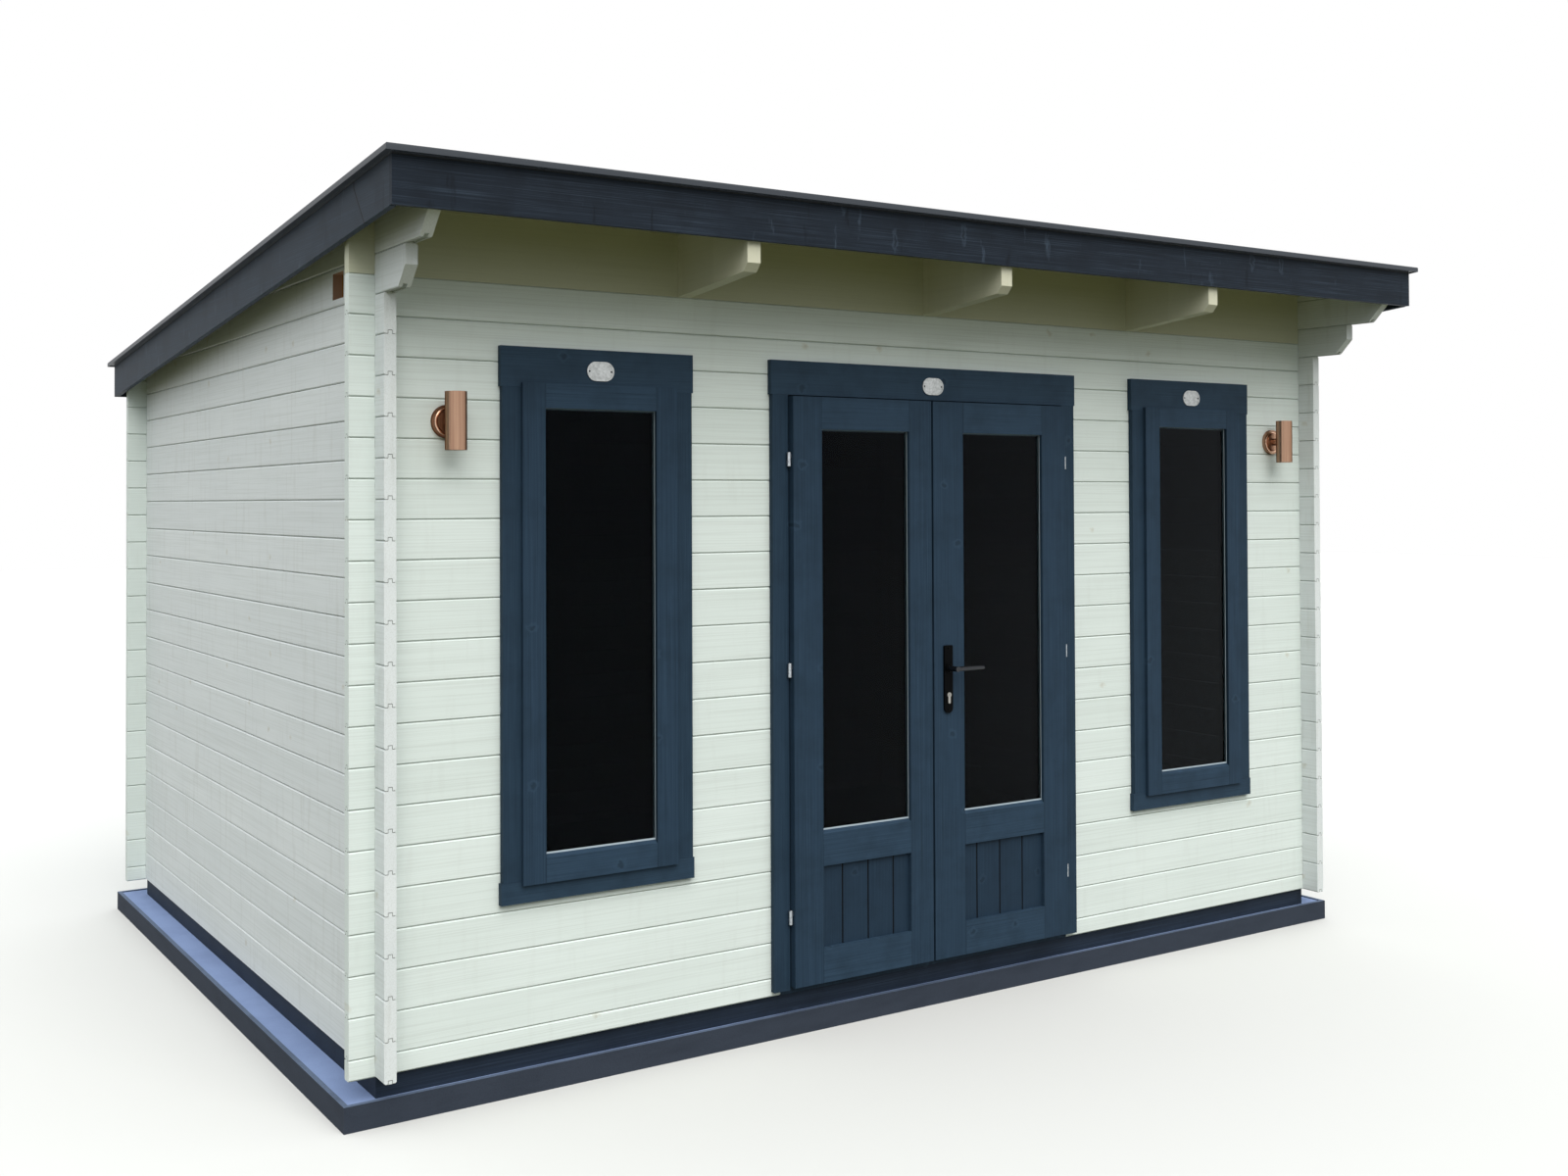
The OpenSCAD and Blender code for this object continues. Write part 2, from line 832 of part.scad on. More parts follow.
// Body of a casement: a lip over the boards, a waist between them and a back part inside the frame
module casement_body() {
    waist = sash_lip + 2;
    back = window_lap + 2;
    difference() {
        union() {
            box(casement_x0, casement_x1, -casement_out, -board_t - seat, casement_z0, casement_z1);
            box(casement_x0 + waist, casement_x1 - waist, -casement_out, -seat,
                casement_z0 + waist, casement_z1 - waist);
            box(casement_x0 + back, casement_x1 - back, -casement_out, casement_in,
                casement_z0 + back, casement_z1 - back);
        }
        sash_opening(pane_x, pane_z, -casement_out, casement_in, edge_rise);
    }
}

module window_casement() {
    color("#304355") {
        sash_members(pane_x, [casement_z0, casement_z1], [[casement_z0, pane_z[0]], [pane_z[1], casement_z1]],
            -casement_out, casement_in)
            casement_body();
        beads(pane_x, pane_z, -casement_out, casement_in);
    }
}

module window_glass() {
    glass_unit(pane_x, pane_z, -casement_out);
}

// Boards round a hole on one face of the wall: a head board, two side boards and a sill board.
// past is how far head and sill boards run past the side boards
module board_set(xs, zs, width, z_low, z_high, ys, past) {
    box(xs[0] - width - past, xs[1] + width + past, ys[0], ys[1], zs[1], z_high);
    for (x = [xs[0] - width, xs[1]])
        box(x, x + width, ys[0], ys[1], zs[0], zs[1] - seat);
    if (z_low < zs[0])
        box(xs[0] - width - past, xs[1] + width + past, ys[0], ys[1], z_low, zs[0] - seat);
}

module window_boards() {
    inner = frame_out + window_lap;
    x0 = window_hole[0] + inner;
    z0 = foot + window_hole_z[0] + inner;
    z1 = foot + window_hole_z[1] - inner;
    color("#2f4152") {
        board_set([casement_x0 + sash_lip, casement_x1 - sash_lip],
            [casement_z0 + sash_lip, casement_z1 - sash_lip], window_board,
            casement_z0 + sash_lip - sill_board, foot + board_top, [-board_t, 0], board_past);
        board_set([x0, window_hole[1] - inner], [z0, z1], window_board, z0 - window_board,
            z1 + window_board, [wall_t, wall_t + board_t], 0);
    }
}

module left_window_frame() {
    at_centre() window_frame();
}

module left_window_casement() {
    at_centre() window_casement();
}

module left_window_glass() {
    at_centre() window_glass();
}

module left_window_boards() {
    at_centre() window_boards();
}

module right_window_frame() {
    at_centre() mirror_right() window_frame();
}

module right_window_casement() {
    at_centre() mirror_right() window_casement();
}

module right_window_glass() {
    at_centre() mirror_right() window_glass();
}

module right_window_boards() {
    at_centre() mirror_right() window_boards();
}

// Two jambs, a head and a threshold in the doorway
module door_frame() {
    jamb = frame_out + frame_lap;
    at_centre()
        color("#2c3c4c") {
            for (x = [door_hole[0], door_hole[1] - jamb])
                box(x, x + jamb, 0, wall_t, foot, foot + door_hole_top - jamb - seat);
            box(door_hole[0], door_hole[1], 0, wall_t, foot + door_hole_top - jamb, foot + door_hole_top);
            box(door_hole[0] + jamb + seat, door_hole[1] - jamb - seat, 0, wall_t, foot, foot + threshold_h);
        }
}

module door_boards() {
    lift = 16;
    inner_top = foot + leaf_top - frame_lap;
    at_centre()
        color("#2f4152") {
            board_set([door_x0 - leaf_gap, wall_w - door_x0 + leaf_gap],
                [foot + lift, foot + leaf_top + leaf_gap], door_board, foot + lift, foot + board_top,
                [-board_t, 0], board_past);
            board_set([door_x0 + frame_lap, wall_w - door_x0 - frame_lap], [foot + floor_t + seat, inner_top],
                door_board, foot + floor_t + seat, inner_top + door_board, [wall_t, wall_t + board_t], 0);
        }
}

// Lower barrels of the pin hinges, each with a lug back to the board behind it
module fixed_barrels() {
    half_len = (hinge_len - hinge_cut) / 2;
    for (z = hinge_heights) {
        translate([hinge_x, hinge_y, foot + z - hinge_len / 2])
            cylinder(r = hinge_r, h = half_len);
        box(hinge_x - hinge_r / 2, hinge_x + hinge_r / 2, hinge_y, -board_t,
            foot + z - hinge_len / 2 + 4, foot + z - hinge_len / 2 + half_len - 4);
    }
}

// Upper barrels, each with a lug across to the leaf's edge
module moving_barrels() {
    half_len = (hinge_len - hinge_cut) / 2;
    for (z = hinge_heights) {
        translate([hinge_x, hinge_y, foot + z + hinge_cut / 2])
            cylinder(r = hinge_r, h = half_len);
        box(hinge_x, door_x0, hinge_y - hinge_r / 2, hinge_y + hinge_r / 2,
            foot + z + hinge_cut / 2 + 4, foot + z + hinge_cut / 2 + half_len - 4);
    }
}

module frame_hinges() {
    at_centre()
        color("#b9bdbf") {
            fixed_barrels();
            mirror_right() fixed_barrels();
        }
}

// Inner edges of a leaf's stiles; edge is the leaf's meeting edge and stile its meeting stile's width
function leaf_xs(edge, stile) = [door_x0 + leaf_stile, edge - stile];

module leaf(edge, stile) {
    xs = leaf_xs(edge, stile);
    z0 = foot + leaf_z;
    z1 = foot + leaf_top;
    sash_members(xs, [z0, z1], [[z0, panel_z[0]], [panel_z[1], leaf_pane_z[0]], [leaf_pane_z[1], z1]],
        leaf_front, leaf_back)
        difference() {
            box(door_x0, edge, leaf_front, leaf_back, z0, z1);
            sash_opening(xs, leaf_pane_z, leaf_front, leaf_back, edge_rise);
            sash_opening(xs, panel_z, leaf_front, leaf_back, 0);
        }
    beads(xs, leaf_pane_z, leaf_front, leaf_back);
    beads(xs, panel_z, leaf_front, leaf_back);
}

// Upright boards with a V groove at each joint, on both faces
module leaf_panel(edge, stile) {
    groove = 4;
    grow = rebate - seat;
    xs = leaf_xs(edge, stile);
    y0 = leaf_front + lip_t + seat;
    y1 = y0 + glass_t;
    joints = floor((xs[1] - xs[0] - panel_first) / panel_board);
    color("#2a3b4b")
        translate([0, 0, panel_z[0] - grow])
            linear_extrude(panel_h + 2 * grow)
                polygon(concat(
                    [[xs[0] - grow, y0]],
                    [for (i = [joints:-1:0], k = [-1, 0, 1])
                        [xs[1] - panel_first - i * panel_board + k * groove, y0 + (k == 0 ? groove : 0)]],
                    [[xs[1] + grow, y0], [xs[1] + grow, y1]],
                    [for (i = [0:joints], k = [1, 0, -1])
                        [xs[1] - panel_first - i * panel_board + k * groove, y1 - (k == 0 ? groove : 0)]],
                    [[xs[0] - grow, y1]]
                ));
}

module left_door() {
    at_centre()
        color("#304355")
            leaf(left_edge, meeting_left);
}

module left_door_glass() {
    at_centre() glass_unit(leaf_xs(left_edge, meeting_left), leaf_pane_z, leaf_front);
}

module left_door_panel() {
    at_centre() leaf_panel(left_edge, meeting_left);
}

module left_door_hinges() {
    at_centre()
        color("#c3c7c9")
            moving_barrels();
}

// Outline of the key cylinder, grown by gap
module key_outline(gap) {
    circle(r = 8.5 + gap);
    translate([-5 - gap, -24.5 - gap])
        square([10 + 2 * gap, 24.5]);
    translate([0, -24.5])
        circle(r = 5 + gap);
}

// Bores through the right leaf for the spindle and the key cylinder
module handle_bores(gap) {
    along_handle(leaf_front - plate_t - cut, leaf_back + plate_t + cut) {
        translate([handle_x, foot + lever_z])
            circle(r = lever_r + gap);
        translate([handle_x, foot + lever_z - key_drop])
            key_outline(gap);
    }
}

module along_handle(y0, y1) {
    for (i = [0:$children - 1])
        along_y(y0, y1)
            children(i);
}

module right_door() {
    at_centre()
        color("#304355")
            difference() {
                mirror_right() leaf(right_edge, meeting_right);
                handle_bores(0.5);
            }
}

module right_door_glass() {
    at_centre() mirror_right() glass_unit(leaf_xs(right_edge, meeting_right), leaf_pane_z, leaf_front);
}

module right_door_panel() {
    at_centre() mirror_right() leaf_panel(right_edge, meeting_right);
}

module right_door_hinges() {
    at_centre()
        color("#c3c7c9")
            mirror_right() moving_barrels();
}

// A long plate with a round foot on each face of the right leaf
module handle_plates() {
    r = plate_w / 2;
    z0 = foot + lever_z + 78 - plate_h;
    z1 = foot + lever_z + 78;
    at_centre()
        color("#1d1f21")
            difference() {
                for (y = [leaf_front - plate_t, leaf_back])
                    along_y(y, y + plate_t) {
                        translate([handle_x, z0 + r])
                            circle(r = r);
                        translate([handle_x - r, z0 + r])
                            square([plate_w, plate_h - r - plate_corner]);
                        translate([handle_x - r + plate_corner, z1 - plate_corner])
                            square([plate_w - 2 * plate_corner, plate_corner]);
                        for (x = [handle_x - r + plate_corner, handle_x + r - plate_corner])
                            translate([x, z1 - plate_corner])
                                circle(r = plate_corner);
                    }
                handle_bores(0.5);
            }
}

module lock_cylinder() {
    proud = 3;
    at_centre()
        color("#b5b8ba")
            along_y(leaf_front - plate_t - proud, leaf_back + plate_t + proud)
                translate([handle_x, foot + lever_z - key_drop])
                    key_outline(0);
}

// A round bar along x with a domed end
module lever_bar(r, l) {
    rotate([0, 90, 0])
        rotate_extrude()
            intersection() {
                union() {
                    square([r, l - r]);
                    translate([0, l - r])
                        circle(r = r);
                }
                square([r, l]);
            }
}

// A lever on each face, both on one spindle that passes through the leaf
module lever_handle() {
    out = plate_t + lever_out;
    bar_r = lever_r - 1;
    at_centre()
        color("#1b1c1e")
            translate([handle_x, 0, foot + lever_z]) {
                translate([0, leaf_back + out + lever_r, 0])
                    rotate([90, 0, 0])
                        cylinder(r = lever_r, h = leaf_t + 2 * (out + lever_r));
                for (y = [leaf_front - out, leaf_back + out])
                    translate([0, y, 0])
                        lever_bar(bar_r, lever_l);
            }
}

// A cylinder that shines up and down, on an arm from a round wall plate
module lamp() {
    rose_t = 13;
    hub_t = 20;
    hub_r = rose_r - 14;
    arm_r = 14;
    well_r = lamp_r - 4;
    well_d = 12;
    color("#a9825f")
        translate([lamp_x, 0, foot + lamp_z]) {
            rotate([90, 0, 0])
                cylinder(r = rose_r, h = rose_t);
            rotate([90, 0, 0])
                cylinder(r = hub_r, h = hub_t);
            rotate([90, 0, 0])
                cylinder(r = arm_r, h = lamp_out - lamp_r + 4);
            difference() {
                translate([0, -lamp_out, -lamp_h / 2])
                    cylinder(r = lamp_r, h = lamp_h);
                for (z = [-lamp_h / 2 - cut, lamp_h / 2 - well_d])
                    translate([0, -lamp_out, z])
                        cylinder(r = well_r, h = well_d + cut);
            }
        }
}

module left_lamp() {
    at_centre() lamp();
}

module right_lamp() {
    at_centre() mirror_right() lamp();
}

// Outline with straight sides and round ends, drawn in by inset
module oval_outline(inset) {
    r = oval_h / 2;
    translate([-oval_w / 2 + r, -r + inset])
        square([oval_w - 2 * r, oval_h - 2 * inset]);
    for (x = [-oval_w / 2 + r, oval_w / 2 - r])
        translate([x, 0])
            circle(r = r - inset);
}

// Blank oval plates with a raised rim, on the boards over the windows and the doors
module oval_plates() {
    oval_t = 4;
    rim = 4;
    field_t = 2.5;
    z = foot + board_top - 64;
    at_centre()
        color("#c4c6c5")
            for (x = [window_x, wall_w / 2, wall_w - window_x])
                translate([x, 0, z])
                    difference() {
                        along_y(-board_t - oval_t, -board_t)
                            oval_outline(0);
                        along_y(-board_t - oval_t - cut, -board_t - field_t)
                            oval_outline(rim);
                    }
}

plinth_slab();
plinth_edging();
bearers();
floor();
front_left_lower_logs();
front_left_outer_logs();
front_left_inner_logs();
front_right_lower_logs();
front_right_outer_logs();
front_right_inner_logs();
front_upper_logs();
front_top_board();
back_wall();
left_wall();
right_wall();
left_vent_log();
left_bracket_logs();
right_bracket_logs();
vent_shutter();
rafters();
roof_deck();
roof_sheet();
roof_edge_trim();
front_fascia();
back_fascia();
left_barge_board();
right_barge_board();
left_window_frame();
left_window_casement();
left_window_glass();
left_window_boards();
right_window_frame();
right_window_casement();
right_window_glass();
right_window_boards();
door_frame();
door_boards();
frame_hinges();
left_door();
left_door_glass();
left_door_panel();
left_door_hinges();
right_door();
right_door_glass();
right_door_panel();
right_door_hinges();
handle_plates();
lock_cylinder();
lever_handle();
left_lamp();
right_lamp();
oval_plates();
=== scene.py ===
import math
import bmesh
import bpy
import mathutils
import numpy as np
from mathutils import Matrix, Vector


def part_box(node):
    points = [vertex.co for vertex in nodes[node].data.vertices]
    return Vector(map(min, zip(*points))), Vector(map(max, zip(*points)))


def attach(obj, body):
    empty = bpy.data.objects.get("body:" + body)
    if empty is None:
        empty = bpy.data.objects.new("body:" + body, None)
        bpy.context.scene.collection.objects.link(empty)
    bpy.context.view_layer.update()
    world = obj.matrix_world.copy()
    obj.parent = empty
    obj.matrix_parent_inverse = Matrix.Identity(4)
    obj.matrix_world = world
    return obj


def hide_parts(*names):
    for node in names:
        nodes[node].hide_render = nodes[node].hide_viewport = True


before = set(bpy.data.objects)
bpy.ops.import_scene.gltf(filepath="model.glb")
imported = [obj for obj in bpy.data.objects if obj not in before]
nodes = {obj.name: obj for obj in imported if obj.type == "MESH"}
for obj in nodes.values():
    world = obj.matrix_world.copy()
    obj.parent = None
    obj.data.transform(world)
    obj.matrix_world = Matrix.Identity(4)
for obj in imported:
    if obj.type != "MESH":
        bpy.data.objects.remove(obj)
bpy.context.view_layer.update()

# The pod's main sizes in metres, in the frame of the CAD model: x to the right, y to the back, z up
FOOT = 0.138            # underside of the lowest logs, from which heights on the walls are counted
COURSE = 0.114          # height that one log covers
LOG = 0.035             # thickness of a log
HALF_WIDTH = 1.958      # from the middle to the side walls' outer faces
FRONT = -1.279          # front wall's outer face
BACK = 1.611            # back wall's outer face
MID_Y = (FRONT + BACK) / 2
HALF_DEPTH = (BACK - FRONT) / 2
SLOPE = math.tan(math.radians(5))
OVERHANG = 0.407        # from the front wall to the foremost roof board's edge
ROOF_BOARD = 0.096      # cover of a roof board
FLOOR_BOARD = 0.112     # cover of a floor board
PANEL_BOARD = 0.104     # cover of a board of the door panels
WINDOW_X = 1.270        # middle of the windows, and of the oval plates over them, from the pod's middle
RAILS = ((0.299, 0.181), (WINDOW_X, 0.185))     # rails of a door leaf and of a casement: middle, half length
DOOR_HEAD = 1.9315      # underside of the level boards over the doors
WINDOW_HEAD = 1.9235    # underside of those over the windows
WINDOW_SILL = 0.4868    # top of those under the windows
# Middle and half width of the vent slot in y and z
VENT = ((FRONT + 0.320, 0.0505), (FOOT + 19 * COURSE + 0.061, 0.0395))
SIDES = (("left", -1), ("right", 1))


def linear(code):
    """An sRGB hex value as linear red, green, blue and alpha."""
    parts = np.array([int(code[i:i + 2], 16) for i in (1, 3, 5)]) / 255
    low = parts / 12.92
    high = ((parts + 0.055) / 1.055) ** 2.4
    return (*np.where(parts <= 0.04045, low, high).tolist(), 1.0)


def add(tree, kind, inputs=None, **settings):
    """Adds one node. inputs maps a socket's name or number to a value or to another node's output."""
    node = tree.nodes.new(kind)
    for name, value in settings.items():
        setattr(node, name, value)
    for key, value in (inputs or {}).items():
        if isinstance(value, bpy.types.NodeSocket):
            tree.links.new(value, node.inputs[key])
        else:
            node.inputs[key].default_value = value
    return node


def start(name, **sockets):
    """A material with a Principled shader, whose constants are set on its own sockets."""
    material = bpy.data.materials.new(name)
    material.use_nodes = True
    tree = material.node_tree
    tree.nodes.clear()
    shader = add(tree, "ShaderNodeBsdfPrincipled")
    for socket, value in sockets.items():
        shader.inputs[socket.replace("_", " ")].default_value = value
    add(tree, "ShaderNodeOutputMaterial", {"Surface": shader.outputs[0]})
    return tree, shader, material


def places(tree, output="Object"):
    """Object coordinates, or with "Normal" the way the surface faces: whole, and split into x, y and z."""
    whole = add(tree, "ShaderNodeTexCoord").outputs[output]
    return whole, add(tree, "ShaderNodeSeparateXYZ", {0: whole}).outputs


def grain(run, length, width):
    """Sizes of fibres along x, y and z, for boards whose fibres run along the axis with number run."""
    return tuple(length if axis == run else width for axis in range(3))


def streaks(tree, where, sizes, detail, shift=0.0):
    """Noise drawn out to the given sizes in metres along x, y and z, as wood fibres or brush marks are."""
    stretched = add(tree, "ShaderNodeMapping", {"Vector": where, "Location": (shift, shift, shift),
                                                "Scale": tuple(1 / size for size in sizes)})
    return add(tree, "ShaderNodeTexNoise", {"Vector": stretched.outputs[0], "Scale": 1.0, "Detail": detail,
                                            "Roughness": 0.6}).outputs[0]


def distance(tree, value, middle):
    """How far a value is from a middle, to either side."""
    off = add(tree, "ShaderNodeMath", {0: value, 1: middle}, operation="SUBTRACT").outputs[0]
    return add(tree, "ShaderNodeMath", {0: off}, operation="ABSOLUTE").outputs[0]


def past_last(tree, value, first, step):
    """How far a value is past the last of the marks that stand a step apart, counted from first."""
    off = add(tree, "ShaderNodeMath", {0: value, 1: first}, operation="SUBTRACT").outputs[0]
    return add(tree, "ShaderNodeMath", {0: off, 1: step}, operation="FLOORED_MODULO").outputs[0]


def box_mask(tree, *spans):
    """1 inside every span. A span is an output, its middle and its half width."""
    mask = None
    for value, middle, reach in spans:
        inside = add(tree, "ShaderNodeMath", {0: value, 1: middle, 2: reach}, operation="COMPARE").outputs[0]
        if mask is not None:
            inside = add(tree, "ShaderNodeMath", {0: mask, 1: inside}, operation="MULTIPLY").outputs[0]
        mask = inside
    return mask


def either(tree, mask, *others):
    """1 where any of the masks is 1."""
    for other in others:
        mask = add(tree, "ShaderNodeMath", {0: mask, 1: other}, operation="MAXIMUM").outputs[0]
    return mask


def in_room(tree, axes):
    """1 inside the room, and 6 mm into its walls, past the bevels between the logs."""
    return box_mask(tree, (axes[0], 0.0, HALF_WIDTH - LOG + 0.006),
                    (axes[1], MID_Y, HALF_DEPTH - LOG + 0.006))


def knots(tree, along, across, apart, radius, share, shift=0.0):
    """Masks of a knot's dark core and of the ring round it.

    One knot lies in each cell of a lattice in the board's plane, kept in a share of the cells. It is as
    long against its width as the cell is, so a tall cell gives a knot that was sawn along its length.
    Noise pushes its outline about, because no real knot is a drawn ring. apart gives a cell's two sides
    and radius the ring's outside on the shorter one, in metres.
    """
    plane = add(tree, "ShaderNodeCombineXYZ", {0: along, 1: across}).outputs[0]
    uneven = add(tree, "ShaderNodeTexNoise", {"Vector": plane, "Scale": 45.0, "Detail": 2.0}).outputs[1]
    plane = add(tree, "ShaderNodeVectorMath", {0: uneven, 1: (0.03, 0.03, 0.0), 2: plane},
                operation="MULTIPLY_ADD").outputs[0]
    lattice = add(tree, "ShaderNodeMapping", {"Vector": plane, "Location": (shift, shift, 0.0),
                                              "Scale": (1 / apart[0], 1 / apart[1], 1.0)}).outputs[0]
    cells = add(tree, "ShaderNodeTexVoronoi", {"Vector": lattice, "Scale": 1.0},
                voronoi_dimensions="2D").outputs
    draw = add(tree, "ShaderNodeSeparateColor", {0: cells["Color"]}).outputs[0]
    chosen = add(tree, "ShaderNodeMath", {0: draw, 1: share}, operation="LESS_THAN").outputs[0]
    size = radius / min(apart)
    masks = []
    for outer, inner in ((0.55, 0.3), (1.0, 0.7)):
        spot = add(tree, "ShaderNodeMapRange", {"Value": cells["Distance"], "From Min": size * outer,
                                                "From Max": size * inner}).outputs[0]
        masks.append(add(tree, "ShaderNodeMath", {0: spot, 1: chosen}, operation="MULTIPLY").outputs[0])
    return masks


def board_tone(tree, place, first, cover):
    """A value from 0 to 1 that is the same all over one board and differs from board to board."""
    past = add(tree, "ShaderNodeMath", {0: place, 1: first}, operation="SUBTRACT").outputs[0]
    number = add(tree, "ShaderNodeMath", {0: past, 1: cover}, operation="DIVIDE").outputs[0]
    whole = add(tree, "ShaderNodeMath", {0: number}, operation="FLOOR").outputs[0]
    return add(tree, "ShaderNodeTexWhiteNoise", {"W": whole}, noise_dimensions="1D").outputs["Value"]


def laid_over(tree, ground, layers):
    """Lays colours over a ground. A layer is a mask, its full strength, and a hex value or an output.

    Where two more values follow, the mask is drawn out: nothing at the first of them, full at the second.
    """
    for mask, strength, colour, *span in layers:
        if span:
            mask = add(tree, "ShaderNodeMapRange", {"Value": mask, "From Min": span[0],
                                                    "From Max": span[1]}).outputs[0]
        factor = add(tree, "ShaderNodeMath", {0: mask, 1: strength}, operation="MULTIPLY").outputs[0]
        if isinstance(colour, str):
            colour = linear(colour)
        ground = add(tree, "ShaderNodeMix", {0: factor, 6: ground, 7: colour}, data_type="RGBA").outputs[2]
    return ground


def surfaced(tree, shader, colour, relief, strength, depth, dull=None):
    """Gives a shader its colour, its relief with a depth in metres, and the range of roughness over it."""
    bump = add(tree, "ShaderNodeBump", {"Strength": strength, "Distance": depth, "Height": relief})
    tree.links.new(colour, shader.inputs["Base Color"])
    tree.links.new(bump.outputs[0], shader.inputs["Normal"])
    if dull:
        spread = add(tree, "ShaderNodeMapRange", {"Value": relief, "To Min": dull[0], "To Max": dull[1]})
        tree.links.new(spread.outputs[0], shader.inputs["Roughness"])


def bare_spruce_colour(tree, where, axes, run, across, tone):
    """Planed spruce: pale straw ground, darker late wood lines along the board, brown knots with a rim.

    The lines are 1 to 3 mm wide, drawn at 6 mm so that they show. run is the number of the axis along
    the board, and across that of the axis over its width.
    """
    late = streaks(tree, where, grain(run, 0.55, 0.006), 5.0, 3.0)
    core, ring = knots(tree, axes[run], axes[across], (0.19, 0.15), 0.013, 0.4, 5.0)
    return laid_over(tree, linear("#d3af7f"), [
        (tone, 0.5, "#c59a67"), (late, 0.45, "#ad7f4c", 0.48, 0.66), (ring, 0.7, "#a06c3c"),
        (core, 0.8, "#5f3a20")])


def log_paint(name, code, run, shade, streaked, slot=None):
    """Opaque water based paint, brushed on planed spruce logs and joined by a bevel at each course.

    It dries to a low sheen, a little different from log to log. Fibres show as fine lines along the
    log, drawn 4 mm wide so that they show, knots as faint warm spots, and brush marks and rain as faint
    upright streaks 3 cm wide. Inside the room the logs are bare. run is the axis along the logs, 0 or 1,
    streaked the strength of the streaks, and slot the middle and half width in y and z of an opening
    sawn through the left wall's logs.
    """
    tree, shader, material = start(name, Specular_IOR_Level=0.25)
    where, axes = places(tree)
    x, y, z = axes
    facing = places(tree, "Normal")[1][run]
    # Front and side logs lie half a course apart
    first = FOOT + (COURSE / 2 if run == 0 else 0.0)
    tone = board_tone(tree, z, first, COURSE)
    fibres = streaks(tree, where, grain(run, 0.5, 0.004), 4.0)
    rain = streaks(tree, where, (0.03, 0.03, 0.22), 2.0, 7.0)
    cloud = streaks(tree, where, (0.35, 0.35, 0.2), 2.0, 11.0)
    core, ring = knots(tree, axes[run], z, (0.26, 0.20), 0.012, 0.24)
    # Height over the nearest groove, and a dark line 2 mm wide in the groove's bottom: dirt that rain
    # leaves there, and painted shade
    level = past_last(tree, z, first - COURSE / 2, COURSE)
    level = add(tree, "ShaderNodeMath", {0: level, 1: COURSE / 2}, operation="SUBTRACT").outputs[0]
    groove_dirt_and_shade = box_mask(tree, (level, 0.0006, 0.0012), (facing, 0.0, 0.8))
    # Tongue and groove drawn as a fine dark line on the logs' cut ends, 12 mm wide and 10 mm high
    middle, reach = ((MID_Y, HALF_DEPTH), (0.0, HALF_WIDTH))[run]
    off = distance(tree, distance(tree, (y, x)[run], middle), reach - LOG / 2)
    shoulder = box_mask(tree, (off, 0.012, 0.006), (level, 0.0, 0.0011))
    crest = box_mask(tree, (off, 0.0, 0.006), (level, 0.010, 0.0011))
    flank = box_mask(tree, (off, 0.006, 0.0009), (level, 0.005, 0.005))
    tongue = box_mask(tree, (either(tree, shoulder, crest, flank), 1.0, 0.5),
                      (distance(tree, facing, 0.0), 1.0, 0.2))
    layers = [
        (tone, 0.45, shade), (cloud, 0.3, shade, 0.4, 0.7), (fibres, 0.24, "#a9aea6", 0.45, 0.7),
        (rain, streaked, "#b3b5ae", 0.56, 0.74), (ring, 0.2, "#b7ad90"), (core, 0.2, "#9a917a"),
        # Dirt and painted shade in the bottom of each groove
        (groove_dirt_and_shade, 0.6, "#6d7268"), (tongue, 0.8, "#4c5048"),
        (in_room(tree, axes), 1.0, bare_spruce_colour(tree, where, axes, run, 2, tone))]
    if slot:
        sawn = box_mask(tree, (y, *slot[0]), (z, *slot[1]), (x, LOG / 2 - HALF_WIDTH, LOG / 2 - 0.001))
        layers.append((sawn, 0.8, "#9a6b43"))
    surfaced(tree, shader, laid_over(tree, linear(code), layers), fibres, 0.5, 0.0006, (0.48, 0.64))
    return material


def eaves_paint_and_painted_shade(name, code, shade, run):
    """The same paint on planed rafters and roof boards over the overhang, bare inside the room.

    It is matt, because it is out of the rain, and its fibres are drawn 5 mm wide so that they show. Its
    colours are darker and more olive than the logs' paint: painted shade and painted olive bounce light
    under the overhang, most on the roof boards and on the front wall's top board.
    """
    tree, shader, material = start(name, Roughness=0.6, Specular_IOR_Level=0.2)
    where, axes = places(tree)
    tone = board_tone(tree, axes[1], FRONT - OVERHANG, ROOF_BOARD)
    fibres = streaks(tree, where, grain(run, 0.5, 0.005), 4.0, 2.0)
    colour = laid_over(tree, linear(code), [
        (tone, 0.3, shade), (fibres, 0.3, shade, 0.45, 0.75),
        (in_room(tree, axes), 1.0, bare_spruce_colour(tree, where, axes, run, run + 1, tone))])
    surfaced(tree, shader, colour, fibres, 0.4, 0.0005)
    return material


